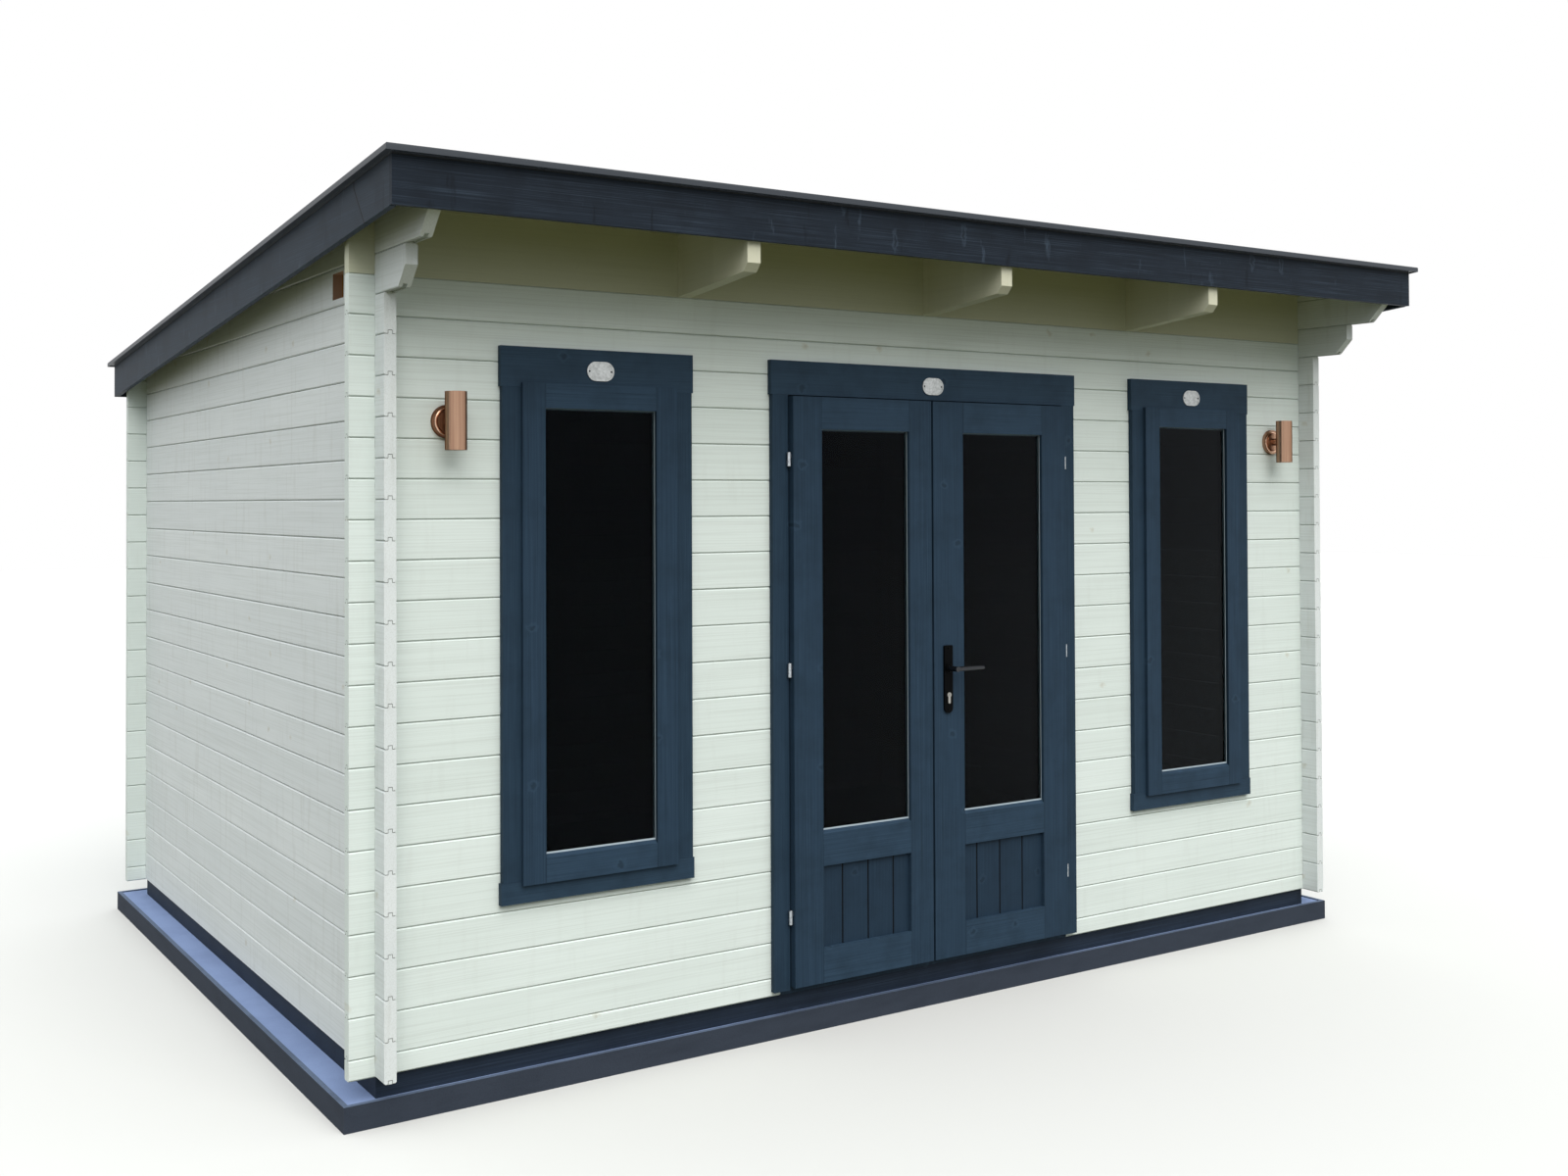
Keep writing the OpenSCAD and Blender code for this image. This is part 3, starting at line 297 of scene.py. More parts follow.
def dark_paint(name, code, shade, light, lying=None, lines=None, run=0, apart=(0.3, 0.24), radius=0.019,
               share=0.55, resin=0.0):
    """Anthracite wood paint, brushed on planed spruce in two coats.

    It dries flat. Fibres show as fine lines along each board, drawn 3 mm wide so that they show and worn
    a little lighter on the crests, and knots as a dark core in a ring of thinner, lighter paint. run is
    the axis along the boards, 2 where they stand, and lying gives the places of those that lie level
    among upright ones. lines draws joints that are too fine for the solids, share says how many knots
    there are, and resin is the strength of the upright marks, 4 cm wide, on a wide board where a knot
    was sawn through.
    """
    tree, shader, material = start(name, Specular_IOR_Level=0.12)
    where, axes = places(tree)
    fibres = streaks(tree, where, grain(run, 0.35, 0.003), 4.0, 1.0)
    layers = []
    if lying:
        mask = lying(tree, axes)
        upright = streaks(tree, where, grain(2, 0.35, 0.003), 4.0, 1.0)
        fibres = add(tree, "ShaderNodeMix", {0: mask, 2: upright, 3: fibres}).outputs[0]
        layers.append((mask, 0.25, light))
    cloud = streaks(tree, where, (0.12, 0.12, 0.12), 3.0, 9.0)
    # Every board stands on edge along x or y, so its knots lie in the plane of that axis and z
    core, ring = knots(tree, axes[run % 2], axes[2], apart, radius, share, 4.0)
    layers += [(fibres, 0.5, light, 0.5, 0.72), (fibres, 0.6, shade, 0.45, 0.28),
               (cloud, 0.35, shade, 0.45, 0.7), (ring, 0.3, light), (core, 0.6, shade)]
    if resin:
        marks = streaks(tree, where, (0.045, 0.045, 0.20), 4.0, 13.0)
        layers += [(marks, resin, light, 0.63, 0.70), (marks, resin, shade, 0.36, 0.30)]
    if lines:
        layers += lines(tree, axes)
    surfaced(tree, shader, laid_over(tree, linear(code), layers), fibres, 0.5, 0.0005, (0.5, 0.72))
    return material


def sash_rails(tree, axes):
    """Rails of the door leaves and casements lie level between their stiles."""
    reach = distance(tree, axes[0], 0.0)
    return either(tree, *(box_mask(tree, (reach, middle, half)) for middle, half in RAILS))


def rail_shoulders(tree, axes):
    """Glued shoulders where the rails meet the stiles: hair fine, drawn 2 mm wide so that they show."""
    reach = distance(tree, axes[0], 0.0)
    return [(box_mask(tree, (distance(tree, reach, middle), half, 0.0010)), 0.6, "#182631")
            for middle, half in RAILS]


def head_boards(tree, axes):
    """Boards over the doors and windows, and under the windows, lie level."""
    over, high, low = (add(tree, "ShaderNodeMath", {0: axes[2], 1: FOOT + edge}, operation=side).outputs[0]
                       for edge, side in ((DOOR_HEAD, "GREATER_THAN"), (WINDOW_HEAD, "GREATER_THAN"),
                                          (WINDOW_SILL, "LESS_THAN")))
    # The window boards start further out than this, and the door boards end before it
    window = add(tree, "ShaderNodeMath", {0: distance(tree, axes[0], 0.0), 1: 0.8},
                 operation="GREATER_THAN").outputs[0]
    ends = add(tree, "ShaderNodeMath", {0: either(tree, high, low), 1: window},
               operation="MULTIPLY").outputs[0]
    return either(tree, ends, over)


def panel_grooves(tree, axes):
    """Shade at the bottom of the grooves between the panel boards, drawn 5 mm wide so that it shows.

    The two panels lie alike about x = -0.003, and boards are counted from 0.130 m to either side of it.
    """
    place = past_last(tree, distance(tree, axes[0], -0.003), 0.130, PANEL_BOARD)
    return [(box_mask(tree, (place, PANEL_BOARD / 2, 0.0026)), 0.95, "#05070a")]


def barge_splice(tree, axes):
    """Splice of the left barge board: upright for 32 mm at the top, then leaning forwards to its foot.

    It is 2 mm wide, and drawn 7 mm wide so that it shows. Below the bend, 2.430 m over the lowest logs,
    it comes 0.79 m forwards for each metre down.
    """
    below = add(tree, "ShaderNodeMath", {0: axes[2], 1: FOOT + 2.430}, operation="SUBTRACT").outputs[0]
    below = add(tree, "ShaderNodeMath", {0: below, 1: 0.0}, operation="MINIMUM").outputs[0]
    lean = add(tree, "ShaderNodeMath", {0: below, 1: -0.79, 2: axes[1]}, operation="MULTIPLY_ADD").outputs[0]
    return [(box_mask(tree, (lean, FRONT - 0.132, 0.0035), (axes[0], -HALF_WIDTH, 0.3)), 1.0, "#07090c")]


def bare_boards():
    """Planed spruce boards, not painted: floor and shutter. Each floor board has its own tone.

    The plane leaves a soft sheen over the fibres, which are drawn 4 mm wide so that they show.
    """
    tree, shader, material = start("planed_spruce", Roughness=0.55, Specular_IOR_Level=0.35)
    where, axes = places(tree)
    tone = board_tone(tree, axes[0], LOG - HALF_WIDTH, FLOOR_BOARD)
    fibres = streaks(tree, where, grain(1, 0.5, 0.004), 4.0)
    surfaced(tree, shader, bare_spruce_colour(tree, where, axes, 1, 0, tone), fibres, 0.4, 0.0004)
    return material


def cast_concrete(name, top, side, grit):
    """Smooth cast concrete, pale blue where it faces up and dark on its sides: painted sky light on top.

    Its grit is 1 to 3 mm, drawn at 5 mm so that it shows, over cloudy stains a hand wide.
    """
    tree, shader, material = start(name, Roughness=0.85, Specular_IOR_Level=0.2)
    where = add(tree, "ShaderNodeTexCoord").outputs["Object"]
    up = places(tree, "Normal")[1][2]
    cloud = streaks(tree, where, (0.18, 0.18, 0.05), 5.0)
    fine = streaks(tree, where, (0.005, 0.005, 0.005), 2.0, 6.0)
    # Upward faces turn to the top colour: painted sky light
    colour = laid_over(tree, linear(side), [(up, 1.0, top, 0.4, 0.9), (cloud, 0.4, grit, 0.45, 0.75),
                                            (fine, 0.25, grit, 0.5, 0.7)])
    surfaced(tree, shader, colour, fine, 0.6, 0.0008)
    return material


def roof_rubber():
    """Vulcanised rubber sheet, rolled: matt black with grey dust in shallow wrinkles a forearm long.

    The cloth that it was cured on leaves a print of 1 to 2 mm, drawn at 4 mm so that it shows.
    """
    tree, shader, material = start("rolled_rubber_sheet", Roughness=0.8, Specular_IOR_Level=0.3)
    where = add(tree, "ShaderNodeTexCoord").outputs["Object"]
    dust = streaks(tree, where, (0.3, 0.5, 0.3), 5.0)
    weave = streaks(tree, where, (0.004, 0.004, 0.004), 1.0, 2.0)
    height = add(tree, "ShaderNodeMath", {0: dust, 1: weave}, operation="ADD").outputs[0]
    colour = laid_over(tree, linear("#26282a"), [(dust, 0.5, "#3d3f40", 0.4, 0.75)])
    surfaced(tree, shader, colour, height, 0.4, 0.002)
    return material


def metal(name, code, shade, roughness, sizes, metallic=1.0, strength=0.4, bump=0.0001, edge="#ffffff",
          level=0.5):
    """A metal surface, or a coat on one, with marks of the given sizes in metres along x, y and z.

    metallic is 1 for bare metal and 0 for a coat, and strength says how far the marks turn to the shade.
    edge is the tint of its gloss at grazing angles, and level its strength on what isn't bare metal.
    """
    tree, shader, material = start(name, Metallic=metallic, Specular_Tint=linear(edge),
                                   Specular_IOR_Level=level)
    marks = streaks(tree, add(tree, "ShaderNodeTexCoord").outputs["Object"], sizes, 3.0)
    colour = laid_over(tree, linear(code), [(marks, strength, shade, 0.35, 0.65)])
    surfaced(tree, shader, colour, marks, 0.3, bump, (roughness - 0.08, roughness + 0.1))
    return material


def float_glass(name, code, roughness, weight):
    """Float glass, fire polished on both faces, with a trace of dried rain that only roughens it.

    Its index is below the 1.5 of real glass. Two panes in an evenly lit white studio would otherwise
    be veiled by gloss, where real ones show the dark room behind them.
    """
    tree, shader, material = start(name, IOR=1.2, Transmission_Weight=weight, Base_Color=linear(code),
                                   Specular_Tint=linear("#8e94a4"))
    drops = streaks(tree, add(tree, "ShaderNodeTexCoord").outputs["Object"], (0.02, 0.02, 0.12), 4.0)
    dried = add(tree, "ShaderNodeMapRange", {"Value": drops, "From Min": 0.4, "From Max": 0.8,
                                             "To Min": roughness, "To Max": roughness + 0.03}).outputs[0]
    tree.links.new(dried, shader.inputs["Roughness"])
    return material


# On the wide boards of the eaves, knots are many and sawn along their length
wide = {"apart": (0.18, 0.62), "radius": 0.013, "share": 0.6}
looks = {
    # The front and side logs carry one paint, and the front's code is a little greener: painted greenish
    # light on the front wall
    "front": log_paint("brushed_paint_on_front_logs", "#dfe8e4", 0, "#d3ddd8", 0.08),
    "side": log_paint("brushed_paint_on_side_logs", "#dfe4e4", 1, "#d2d8d9", 0.22),
    "vent": log_paint("brushed_paint_on_vent_log", "#dfe4e4", 1, "#d2d8d9", 0.22, VENT),
    # Rafters, roof boards and the front wall's top board: darker, more olive codes than the logs', painted
    # shade under the overhang
    "rafters": eaves_paint_and_painted_shade("paint_and_painted_shade_on_rafters", "#d2d1bb", "#bfbea6", 1),
    "deck": eaves_paint_and_painted_shade("paint_and_painted_shade_on_roof_boards", "#b4b392", "#9e9d7b", 0),
    "top": eaves_paint_and_painted_shade("paint_and_painted_shade_on_top_board", "#cccdb6", "#babba2", 0),
    "sash": dark_paint("anthracite_paint_on_sashes", "#253748", "#182631", "#354a5e", sash_rails,
                       rail_shoulders),
    "boards": dark_paint("anthracite_paint_on_surround_boards", "#233545", "#172430", "#34485a", head_boards),
    "frames": dark_paint("anthracite_paint_on_frames", "#213140", "#17232f", "#304153", head_boards),
    "panels": dark_paint("anthracite_paint_on_panel_boards", "#1f3040", "#15222e", "#2b3d4e",
                         lines=panel_grooves, run=2, apart=(0.4, 0.4)),
    # The fascia's code is darker than the barge boards' same paint: painted shade
    "fascia": dark_paint("anthracite_paint_and_painted_shade_on_fascia", "#1a222c", "#0d1218", "#43505f", resin=0.55, **wide),
    "barge": dark_paint("anthracite_paint_on_barge_boards", "#29333e", "#171e27", "#46525e",
                        lines=barge_splice, run=1, resin=0.45, **wide),
    "bearers": dark_paint("anthracite_paint_on_bearers", "#212b39", "#161d27", "#384556"),
    # The top colours of slab and edging are painted sky light on their upward faces
    "slab": cast_concrete("cast_concrete", "#8194ba", "#3f4753", "#66769a"),
    "edging": cast_concrete("cast_concrete_edging", "#5c6a80", "#353c48", "#242a34"),
    "spruce": bare_boards(),
    "rubber": roof_rubber(),
    # Powder coated aluminium trim, baked: fine orange peel of 2 mm, no grain
    "trim": metal("powder_coated_aluminium", "#2a313a", "#222931", 0.45, (0.002, 0.002, 0.002), 0.0),
    # Zinc plated steel, turned and bright dipped, with strong dull patches: partly where the plating is
    # thin, partly painted reflection, the bright and dark spots that the barrels mirror
    "zinc": metal("zinc_plated_steel_with_painted_reflections", "#c3c8cd", "#6f757b", 0.32, (0.005, 0.005, 0.009), 1.0, 0.6),
    # Satin black lacquer on cast zinc, with a soft sheen, and worn smoother by hands on the lever
    "black": metal("black_lacquer_on_cast_zinc", "#050607", "#0c0d0f", 0.34, (0.002, 0.002, 0.002), 0.0,
                   edge="#5a5a5a", level=0.1),
    "lever": metal("worn_black_lacquer_on_cast_zinc", "#0a0b0d", "#131417", 0.24, (0.002, 0.002, 0.002), 0.0,
                   edge="#d8dce6", level=0.7),
    # Copper coloured lacquer on aluminium: brushed along the lamp's tube, its lines drawn 6 mm wide and
    # strong, so that they also paint upright bands of reflection on the tube; brighter copper on the wall
    # ring, a painted highlight; and left as it came off the lathe on the screws
    "copper": metal("brushed_copper_lacquer_with_painted_reflections", "#b2917a", "#8a6754", 0.3, (0.006, 0.006, 0.4), 1.0, 0.7,
                    edge="#4a3226"),
    # Brighter copper for the wall ring: a painted highlight
    "copper_painted_highlight": metal("copper_lacquer_painted_highlight", "#d9b49c", "#c09a82", 0.2, (0.004, 0.004, 0.004)),
    "copper_dark": metal("spun_copper_lacquer", "#7d5440", "#5c3a2b", 0.28, (0.004, 0.004, 0.004)),
    # Die struck and tumbled metal plates, mottled by handling
    "plate": metal("struck_metal_plate", "#b9bcbc", "#858887", 0.42, (0.009, 0.009, 0.009), 1.0, 0.6, 0.0003),
    # Nickel plated brass, brushed upright to a satin sheen
    "nickel": metal("satin_nickel", "#a9a7a2", "#84827e", 0.3, (0.0008, 0.0008, 0.004)),
    # Mill finish aluminium strip, drawn through a die along its length: a soft sheen with long lines, drawn
    # 1 mm wide so that they show
    "aluminium": metal("drawn_aluminium_strip", "#b9bdc0", "#9a9ea2", 0.4, (0.3, 0.001, 0.001)),
    # Steel blackened in a hot oxide bath: dark and even, with little shine
    "slot": metal("oxide_black_steel", "#101112", "#1b1c1e", 0.5, (0.001, 0.001, 0.001), 0.6),
    # Pale silicone, drawn along the glass with a wet finger: an even soft sheen. Its pale blue is also a
    # painted highlight: the sky caught along the sloped edge under the glass
    "sealant": metal("tooled_silicone_painted_highlight", "#98a6ae", "#808e96", 0.5, (0.003, 0.003, 0.003), 0.0, 0.3),
    "glass": float_glass("float_glass", "#849296", 0.0, 1.0),
    # The same glass etched with acid: milky, because it scatters the light that it lets through
    "lens": float_glass("frosted_glass", "#e8e6df", 0.35, 0.6),
}

# A node's look is that of the first of these words that its name holds, and otherwise the front logs'
LOOK_OF = {
    "left_wall": "side", "right_wall": "side", "bracket_logs": "side", "vent_log": "vent", "slab": "slab",
    "edging": "edging", "bearers": "bearers", "floor": "spruce", "shutter": "spruce", "rafters": "rafters",
    "deck": "deck", "top_board": "top", "sheet": "rubber", "trim": "trim", "fascia": "fascia",
    "barge": "barge", "glass": "glass", "hinges": "zinc", "handle_plates": "black", "lever": "lever",
    "cylinder": "nickel", "oval": "plate", "lamp": "copper", "panel": "panels", "_boards": "boards",
    "_frame": "frames", "casement": "sash", "door": "sash",
}
for name, piece in nodes.items():
    look = next((look for word, look in LOOK_OF.items() if word in name), "front")
    for slot in piece.material_slots:
        slot.material = looks[look]


def piece_from(name, points, quads, look, body):
    """A mesh piece from arrays of points and quads: doubles merged, faces turned outwards, edges sharp."""
    mesh = bpy.data.meshes.new(name)
    mesh.from_pydata(points.reshape(-1, 3).tolist(), [], quads.tolist())
    work = bmesh.new()
    work.from_mesh(mesh)
    bmesh.ops.remove_doubles(work, verts=work.verts, dist=1e-6)
    bmesh.ops.dissolve_degenerate(work, edges=work.edges, dist=1e-6)
    bmesh.ops.recalc_face_normals(work, faces=work.faces)
    work.to_mesh(mesh)
    work.free()
    mesh.shade_smooth()
    mesh.set_sharp_from_angle(angle=math.radians(35))
    mesh.materials.append(looks[look])
    piece = bpy.data.objects.new(name, mesh)
    bpy.context.scene.collection.objects.link(piece)
    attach(piece, body)
    return piece


def grid_quads(rows, columns, closed=False):
    """Corner numbers of the quads between rows of points.

    Every row closes on itself, and the last row joins the first one where closed is set.
    """
    i, j = np.meshgrid(np.arange(rows if closed else rows - 1), np.arange(columns), indexing="ij")
    a, b = i * columns, (i + 1) % rows * columns
    c, d = j, (j + 1) % columns
    return np.stack([a + c, a + d, b + d, b + c], axis=-1).reshape(-1, 4)


def turned(name, profile, centre, axis, look, body, steps=32):
    """A turned piece: the profile's (radius, height) points carried round an axis through centre.

    Point (i, k) = centre + r_i cos(a_k) u + r_i sin(a_k) v + h_i axis, with a_k = 2 pi k / steps.
    """
    axis = np.asarray(axis, float)
    u = np.cross(axis, (0.0, 0.0, 1.0) if abs(axis[2]) < 0.9 else (1.0, 0.0, 0.0))
    u /= np.linalg.norm(u)
    v = np.cross(axis, u)
    profile = np.asarray(profile, float)
    angle = 2 * np.pi * np.arange(steps) / steps
    ring = np.cos(angle)[:, None] * u + np.sin(angle)[:, None] * v
    points = np.asarray(centre) + profile[:, 0, None, None] * ring + profile[:, 1, None, None] * axis
    return piece_from(name, points, grid_quads(len(profile), steps), look, body)


def dome(radius, height, rim):
    """Profile of a domed head: an upright rim, then a quarter ellipse up to the axis."""
    angle = np.linspace(0, np.pi / 2, 7)
    curve = np.stack([radius * np.cos(angle), rim + (height - rim) * np.sin(angle)], axis=-1)
    return np.concatenate([[[0.0, 0.0], [radius, 0.0]], curve])


def framed(name, corners, outward, normal, section, look, body):
    """A section carried round a closed outline with mitred corners.

    Point (i, k) = corner_i + s_k outward_i + n_k normal, where (s, n) are the section's points and
    outward_i is the mitre's direction at corner i.
    """
    section = np.asarray(section, float)
    points = (corners[:, None] + section[:, 0, None] * outward[:, None]
              + section[:, 1, None] * np.asarray(normal, float))
    return piece_from(name, points, grid_quads(len(corners), len(section), True), look, body)


def bar(name, first, last, section, across, over, look, body, slot):
    """A straight bar with closed ends: the section's (s, n) points carried from first to last.

    Point (i, k) = end_i + s_k across + n_k over, and at each end once more with all k at their mean.
    """
    section = np.asarray(section, float)
    ends = np.asarray([first, first, last, last], float)
    shape = section[:, 0, None] * np.asarray(across, float) + section[:, 1, None] * np.asarray(over, float)
    middle = np.broadcast_to(shape.mean(axis=0), shape.shape)
    points = ends[:, None] + np.stack([middle, shape, shape, middle])
    return piece_from(name, points, grid_quads(4, len(section)), look, body)


# The corners of a rectangle, in order round it, as signs along its two sides
MITRES = np.array([[-1, -1], [1, -1], [1, 1], [-1, 1]], float)


def pane(name, low, high, look, body):
    """A sheet with its edges ground off by 0.7 mm.

    Ring i of four corners = middle + corner (reach - inset_i), at the depth y_i, and the first and last
    rings close to the middle of each face.
    """
    off = 0.0007
    middle, reach = (low + high) / 2, (high - low) / 2
    inset = np.array([reach.max(), off, 0.0, 0.0, off, reach.max()])
    depth = np.array([low[1], low[1], low[1] + off, high[1] - off, high[1], high[1]])
    size = np.maximum(reach[None, [0, 2]] - inset[:, None], 0.0)
    points = np.empty((6, 4, 3))
    points[:, :, 0] = middle[0] + MITRES[:, 0] * size[:, 0, None]
    points[:, :, 1] = depth[:, None]
    points[:, :, 2] = middle[2] + MITRES[:, 1] * size[:, 1, None]
    return piece_from(name, points, grid_quads(6, 4), look, body)


# Sealed double glazing: two 4 mm panes, and between them an aluminium spacer that shows along the sight edge
SHEET = 0.004
SPACER_INSET = 0.0104   # from the panes' edge to the spacer's middle line
SPACER = [(-0.0058, -0.0018), (-0.0058, 0.0018), (-0.0046, 0.0029), (0.0052, 0.0029), (0.0052, -0.0029),
          (-0.0046, -0.0029)]
FILLET = [(-0.0036, 0.0), (0.0030, 0.0), (0.0030, -0.0024)]
for node, body in (("left_window_glass", "root"), ("right_window_glass", "root"),
                   ("left_door_glass", "left_leaf"), ("right_door_glass", "right_leaf")):
    low, high = (np.asarray(corner, float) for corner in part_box(node))
    for side, near, far in (("outer", low[1], low[1] + SHEET), ("inner", high[1] - SHEET, high[1])):
        sheet = pane(f"{node}_{side}_pane", np.array([low[0], near, low[2]]),
                     np.array([high[0], far, high[2]]), "glass", body)
        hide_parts(node)
    middle, reach = (low + high) / 2, (high - low) / 2 - SPACER_INSET
    corners = np.stack([middle[0] + MITRES[:, 0] * reach[0], np.full(4, middle[1]),
                        middle[2] + MITRES[:, 1] * reach[2]], axis=-1)
    outward = np.stack([MITRES[:, 0], np.zeros(4), MITRES[:, 1]], axis=-1)
    # A fillet of sealant on the outer pane, thicker over the sloped edge under it, which rises 10 mm; its
    # pale colour also paints the highlight along the glass's edges
    at_foot = MITRES[:, 1] < 0
    raised = np.stack([np.zeros(4), np.full(4, low[1] - middle[1]), 0.010 * at_foot], axis=-1)
    spread = np.stack([MITRES[:, 0] * 0.3, np.zeros(4), np.where(at_foot, -1.2, 0.3)], axis=-1)
    framed(node + "_sealant", corners - outward * 0.0012 + raised, spread, (0, 1, 0), FILLET, "sealant",
           body)
    spacer = framed(node + "_spacer", corners, outward, (0, 1, 0), SPACER, "aluminium", body)
    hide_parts(node)

# Domed caps at the ends of each pin hinge: the frame's barrels are the lower halves, the leaves' the upper
HINGE_X, HINGE_Y = 0.598, FRONT - 0.029
HINGE_HEIGHTS = (0.251, 1.043, 1.722)
for node, body, way in (("frame_hinges", "root", -1), ("left_door_hinges", "left_leaf", 1),
                        ("right_door_hinges", "right_leaf", 1)):
    for number, height in enumerate(HINGE_HEIGHTS):
        for side, sign in SIDES:
            if side in node or body == "root":
                turned(f"{node}_cap_{side}_{number}", dome(0.0077, 0.0026, 0.0008),
                       (sign * HINGE_X, HINGE_Y, FOOT + height + way * 0.021), (0, 0, way), "zinc", body,
                       20)

# Round headed screws at both ends of the oval plates
PLATE_Z = FOOT + 1.978
for number, x in enumerate((-WINDOW_X, 0.0, WINDOW_X)):
    for side, sign in SIDES:
        turned(f"plate_screw_{number}_{side}", dome(0.0030, 0.0016, 0.0003),
               (x + sign * 0.0365, FRONT - 0.0225, PLATE_Z), (0, -1, 0), "slot", "root", 16)

# Key plug in the cylinder's faces, the collars that the lever turns in, and the screws of its plates, on
# both faces of the right leaf
HANDLE_X, HANDLE_Z = 0.040, FOOT + 1.014
KEY_Z = HANDLE_Z - 0.091
PLATE = 0.008
COLLAR = [(0.0102, 0.0), (0.0150, 0.0), (0.0150, 0.0030), (0.0135, 0.0050), (0.0102, 0.0055)]
KEY_SLOT = [(-0.0009, 0.0), (0.0009, 0.0), (0.0009, 0.0006), (-0.0009, 0.0006)]
for side, leaf, out in (("outer", FRONT - 0.043, -1), ("inner", FRONT - 0.005, 1)):
    face = leaf + out * PLATE
    turned(f"lever_collar_{side}", COLLAR, (HANDLE_X, face, HANDLE_Z), (0, out, 0), "black", "right_leaf")
    turned(f"key_plug_{side}", dome(0.0062, 0.0009, 0.0006), (HANDLE_X, face + out * 0.003, KEY_Z),
           (0, out, 0), "nickel", "right_leaf", 24)
    foot, top = ((HANDLE_X, face + out * 0.0036, KEY_Z + end) for end in (-0.0045, 0.0045))
    bar(f"key_slot_{side}", foot, top, KEY_SLOT, (1, 0, 0), (0, out, 0), "slot", "right_leaf", "nickel")
    for spot, rise in (("top", 0.068), ("foot", -0.141)):
        turned(f"plate_fixing_{side}_{spot}", dome(0.0036, 0.0014, 0.0004), (HANDLE_X, face, HANDLE_Z + rise),
               (0, out, 0), "black", "right_leaf", 16)

# Frosted discs in the lamps' ends with a turned bezel round each, and a ring on the wall with two screws
LAMP_X, LAMP_Y, LAMP_Z = HALF_WIDTH - 0.210, FRONT - 0.070, FOOT + 1.817
LAMP_HALF = 0.0825
BEZEL = [(0.0270, -0.004), (0.0262, -0.004), (0.0258, -0.0005), (0.0268, 0.0), (0.0300, 0.0),
         (0.0309, -0.0008), (0.0309, -0.003), (0.0270, -0.004)]
WALL_RING = [(0.0345, 0.0128), (0.0360, 0.0150), (0.0385, 0.0158), (0.0410, 0.0150), (0.0425, 0.0128),
             (0.0345, 0.0128)]
for side, sign in SIDES:
    x = sign * LAMP_X
    for spot, way in (("top", 1), ("foot", -1)):
        end = LAMP_Z + way * LAMP_HALF
        turned(f"{side}_lamp_lens_{spot}", dome(0.0262, 0.0030, 0.0010), (x, LAMP_Y, end - way * 0.010),
               (0, 0, way), "lens", "root", 40)
        turned(f"{side}_lamp_bezel_{spot}", BEZEL, (x, LAMP_Y, end), (0, 0, way), "copper", "root",
               48)
    # The wall ring's brighter copper is a painted highlight on the rose's rim
    turned(f"{side}_lamp_ring", WALL_RING, (x, FRONT, LAMP_Z), (0, -1, 0), "copper_painted_highlight", "root",
           48)
    for spot, way in SIDES:
        turned(f"{side}_lamp_screw_{spot}", dome(0.0026, 0.0014, 0.0004),
               (x + way * 0.041, FRONT - 0.013, LAMP_Z), (0, -1, 0), "copper_dark", "root", 14)

# Ribbed aluminium strip along the door's threshold: six ribs of one section, 5 mm apart
RIB = np.array([(0.0014, 0.0012), (0.0008, 0.0024), (-0.0008, 0.0024), (-0.0014, 0.0012)])
rib_middles = np.stack([-0.0125 + 0.005 * np.arange(5, -1, -1), np.zeros(6)], axis=-1)
ribs = (rib_middles[:, None] + RIB).reshape(-1, 2)
section = np.concatenate([[(-0.0150, 0.0), (0.0150, 0.0), (0.0150, 0.0012)], ribs, [(-0.0150, 0.0012)]])
ends = ((sign * 0.566, FRONT + LOG / 2, FOOT + 0.045) for side, sign in SIDES)
bar("threshold_strip", *ends, section, (0, 1, 0), (0, 0, 1), "aluminium", "root", "oval_metal")

# Roof edge trim as it is drawn: a rolled top edge, a plain face and a drip lip, over the solid's outline
low, high = (np.asarray(corner, float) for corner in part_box("roof_edge_trim"))
middle, reach = (low + high) / 2, (high - low) / 2
rim_y = middle[1] + MITRES[:, 1] * reach[1]
rim = np.stack([middle[0] + MITRES[:, 0] * reach[0], rim_y, high[2] - 0.018 - (rim_y - low[1]) * SLOPE],
               axis=-1)
outward = np.stack([MITRES[:, 0], MITRES[:, 1], -MITRES[:, 1] * SLOPE], axis=-1)
ROLL = 0.0045
turn = np.linspace(0, np.pi, 9)
section = np.concatenate([
    [(-0.0030, 0.0), (0.0, 0.0)],
    np.stack([-ROLL + ROLL * np.cos(turn), 0.0135 + ROLL * np.sin(turn)], axis=-1),
    [(-0.0120, 0.0110), (-0.0480, 0.0035), (-0.0480, 0.0006), (-0.0240, 0.0006), (-0.0240, 0.0040),
     (-0.0030, 0.0040)]])
trim = framed("edge_trim_profile", rim, outward, (0, 0, 1), section, "trim", "root")
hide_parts("roof_edge_trim")


def basis(yaw, pitch, roll):
    """Right, up and forward vectors of a camera, from degrees: yaw from +Y towards +X, pitch down, roll."""
    yaw, pitch, roll = np.radians([yaw, pitch, roll])
    forward = np.array([math.sin(yaw) * math.cos(pitch), math.cos(yaw) * math.cos(pitch), -math.sin(pitch)])
    level = np.array([math.cos(yaw), -math.sin(yaw), 0.0])
    upright = np.cross(level, forward)
    right = math.cos(roll) * level + math.sin(roll) * upright
    up = -math.sin(roll) * level + math.cos(roll) * upright
    return right, up, forward


# The place and the angle that the pod was photographed from, in metres and degrees
right, up, forward = basis(yaw=33.3475, pitch=-0.8585, roll=-0.2275)
optics = bpy.data.cameras.new("camera")
optics.sensor_width = 36.0
optics.lens = 37.318
optics.shift_y = -0.0707
optics.clip_end = 200.0
camera = bpy.data.objects.new("camera", optics)
bpy.context.scene.collection.objects.link(camera)
matrix = np.eye(4)
matrix[:3] = np.stack([right, up, -forward, (-3.4895, -5.6726, 1.7241)], axis=-1)
camera.matrix_world = mathutils.Matrix(matrix.tolist())
bpy.context.scene.camera = camera

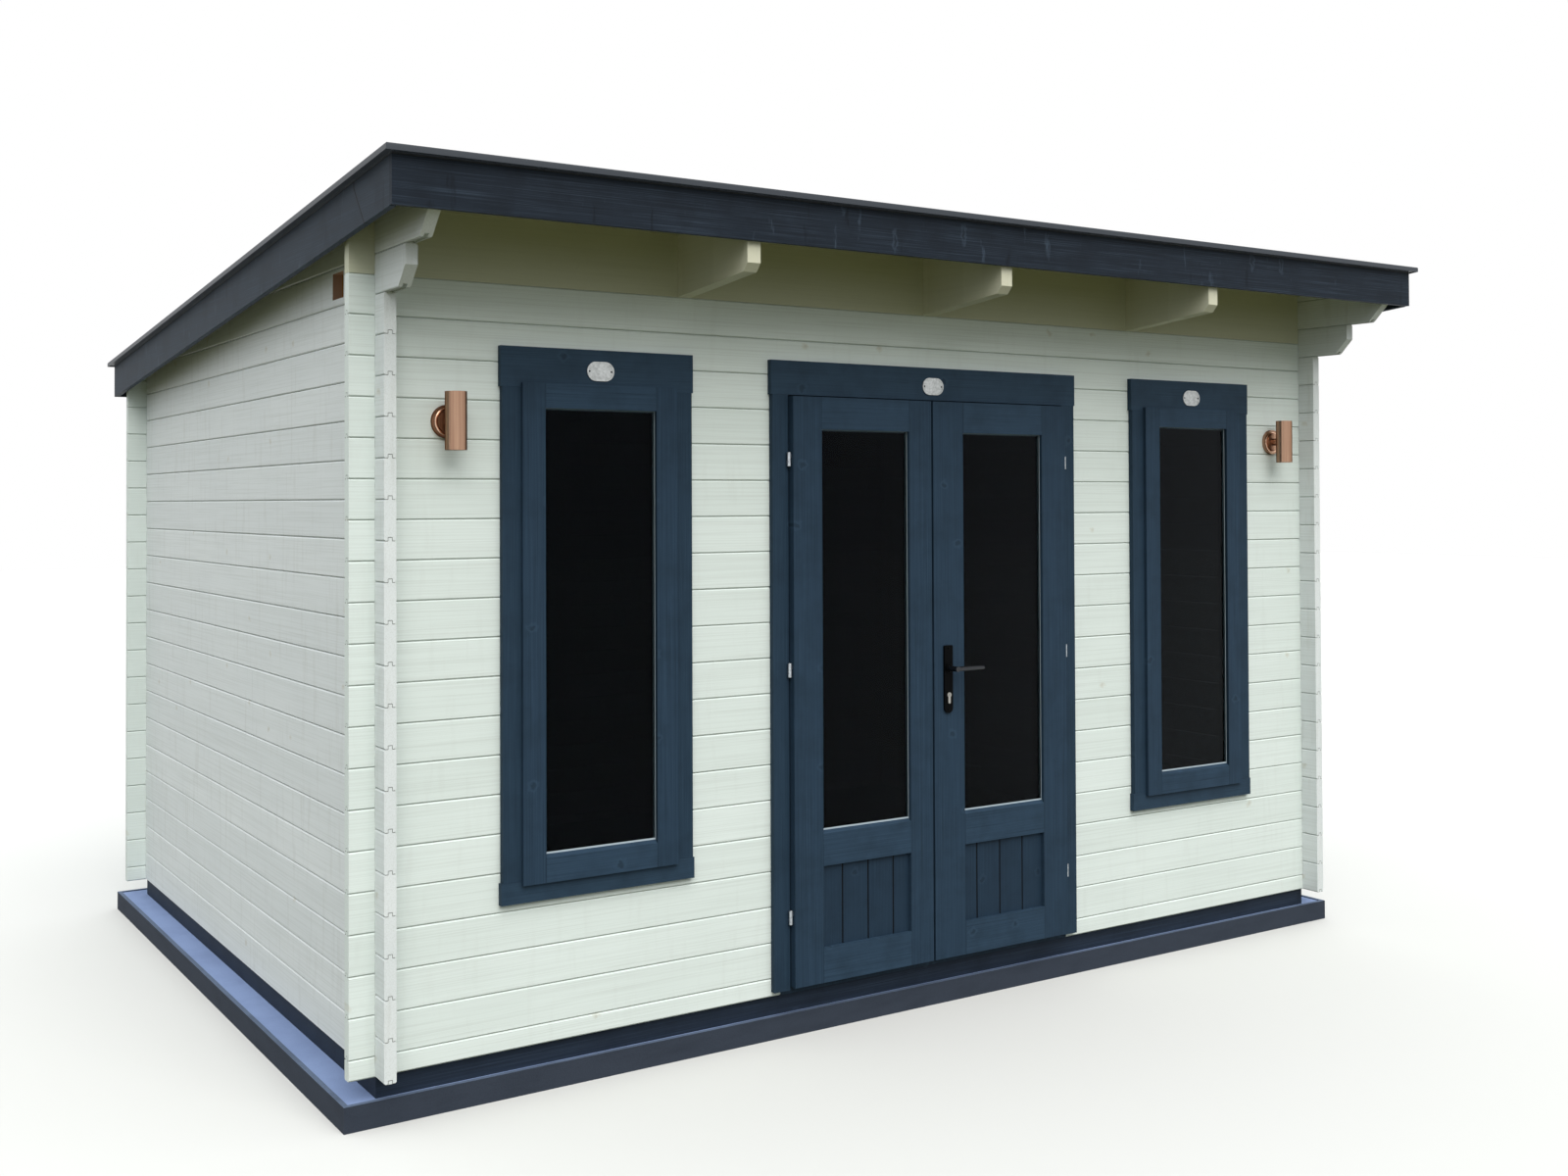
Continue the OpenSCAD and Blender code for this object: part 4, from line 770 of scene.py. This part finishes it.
# Soft key light from the front and above
sun = bpy.data.lights.new("key", "SUN")
sun.energy = 2.35
sun.angle = math.radians(55)
sun.color = linear("#fffcf7")[:3]
key = bpy.data.objects.new("key", sun)
key.rotation_euler = (math.radians(42), 0.0, math.radians(-14))
bpy.context.scene.collection.objects.link(key)


def seen(tree):
    """1 for rays from the camera, also where gloss mirrors them and where glass lets them through."""
    path = add(tree, "ShaderNodeLightPath").outputs
    return either(tree, path["Is Camera Ray"], path["Is Glossy Ray"], path["Is Transmission Ray"])


# Studio: a white backdrop to the eye, and light that is weak from low down and stronger from above
world = bpy.data.worlds.new("studio")
bpy.context.scene.world = world
world.use_nodes = True
tree = world.node_tree
tree.nodes.clear()
direction = add(tree, "ShaderNodeTexCoord").outputs["Generated"]
height = add(tree, "ShaderNodeSeparateXYZ", {0: direction}).outputs[2]
height = add(tree, "ShaderNodeMapRange", {"Value": height, "From Min": 0.0, "From Max": 0.55, "To Min": 0.5,
                                          "To Max": 1.4}).outputs[0]
light = add(tree, "ShaderNodeBackground", {"Color": linear("#f2f6fa"), "Strength": height})
shown = add(tree, "ShaderNodeBackground", {"Color": (1.0, 1.0, 1.0, 1.0), "Strength": 1.0})
mix = add(tree, "ShaderNodeMixShader", {0: seen(tree), 1: light.outputs[0], 2: shown.outputs[0]})
add(tree, "ShaderNodeOutputWorld", {"Surface": mix.outputs[0]})

# A plain pale floor, 80 m wide. It is darker to the light that it throws back, so the eaves stay shaded
mesh = bpy.data.meshes.new("ground")
mesh.from_pydata([(40 * x, 40 * y, 0) for x, y in MITRES], [], [(0, 1, 2, 3)])
ground = bpy.data.objects.new("ground", mesh)
bpy.context.scene.collection.objects.link(ground)
tree, shader, material = start("matt_floor", Roughness=0.95, Specular_IOR_Level=0.0)
tone = add(tree, "ShaderNodeMix", {0: seen(tree), 6: linear("#4a4b31"), 7: linear("#d2d2cf")},
           data_type="RGBA").outputs[2]
tree.links.new(tone, shader.inputs["Base Color"])
mesh.materials.append(material)

bpy.context.scene.view_settings.view_transform = "Standard"
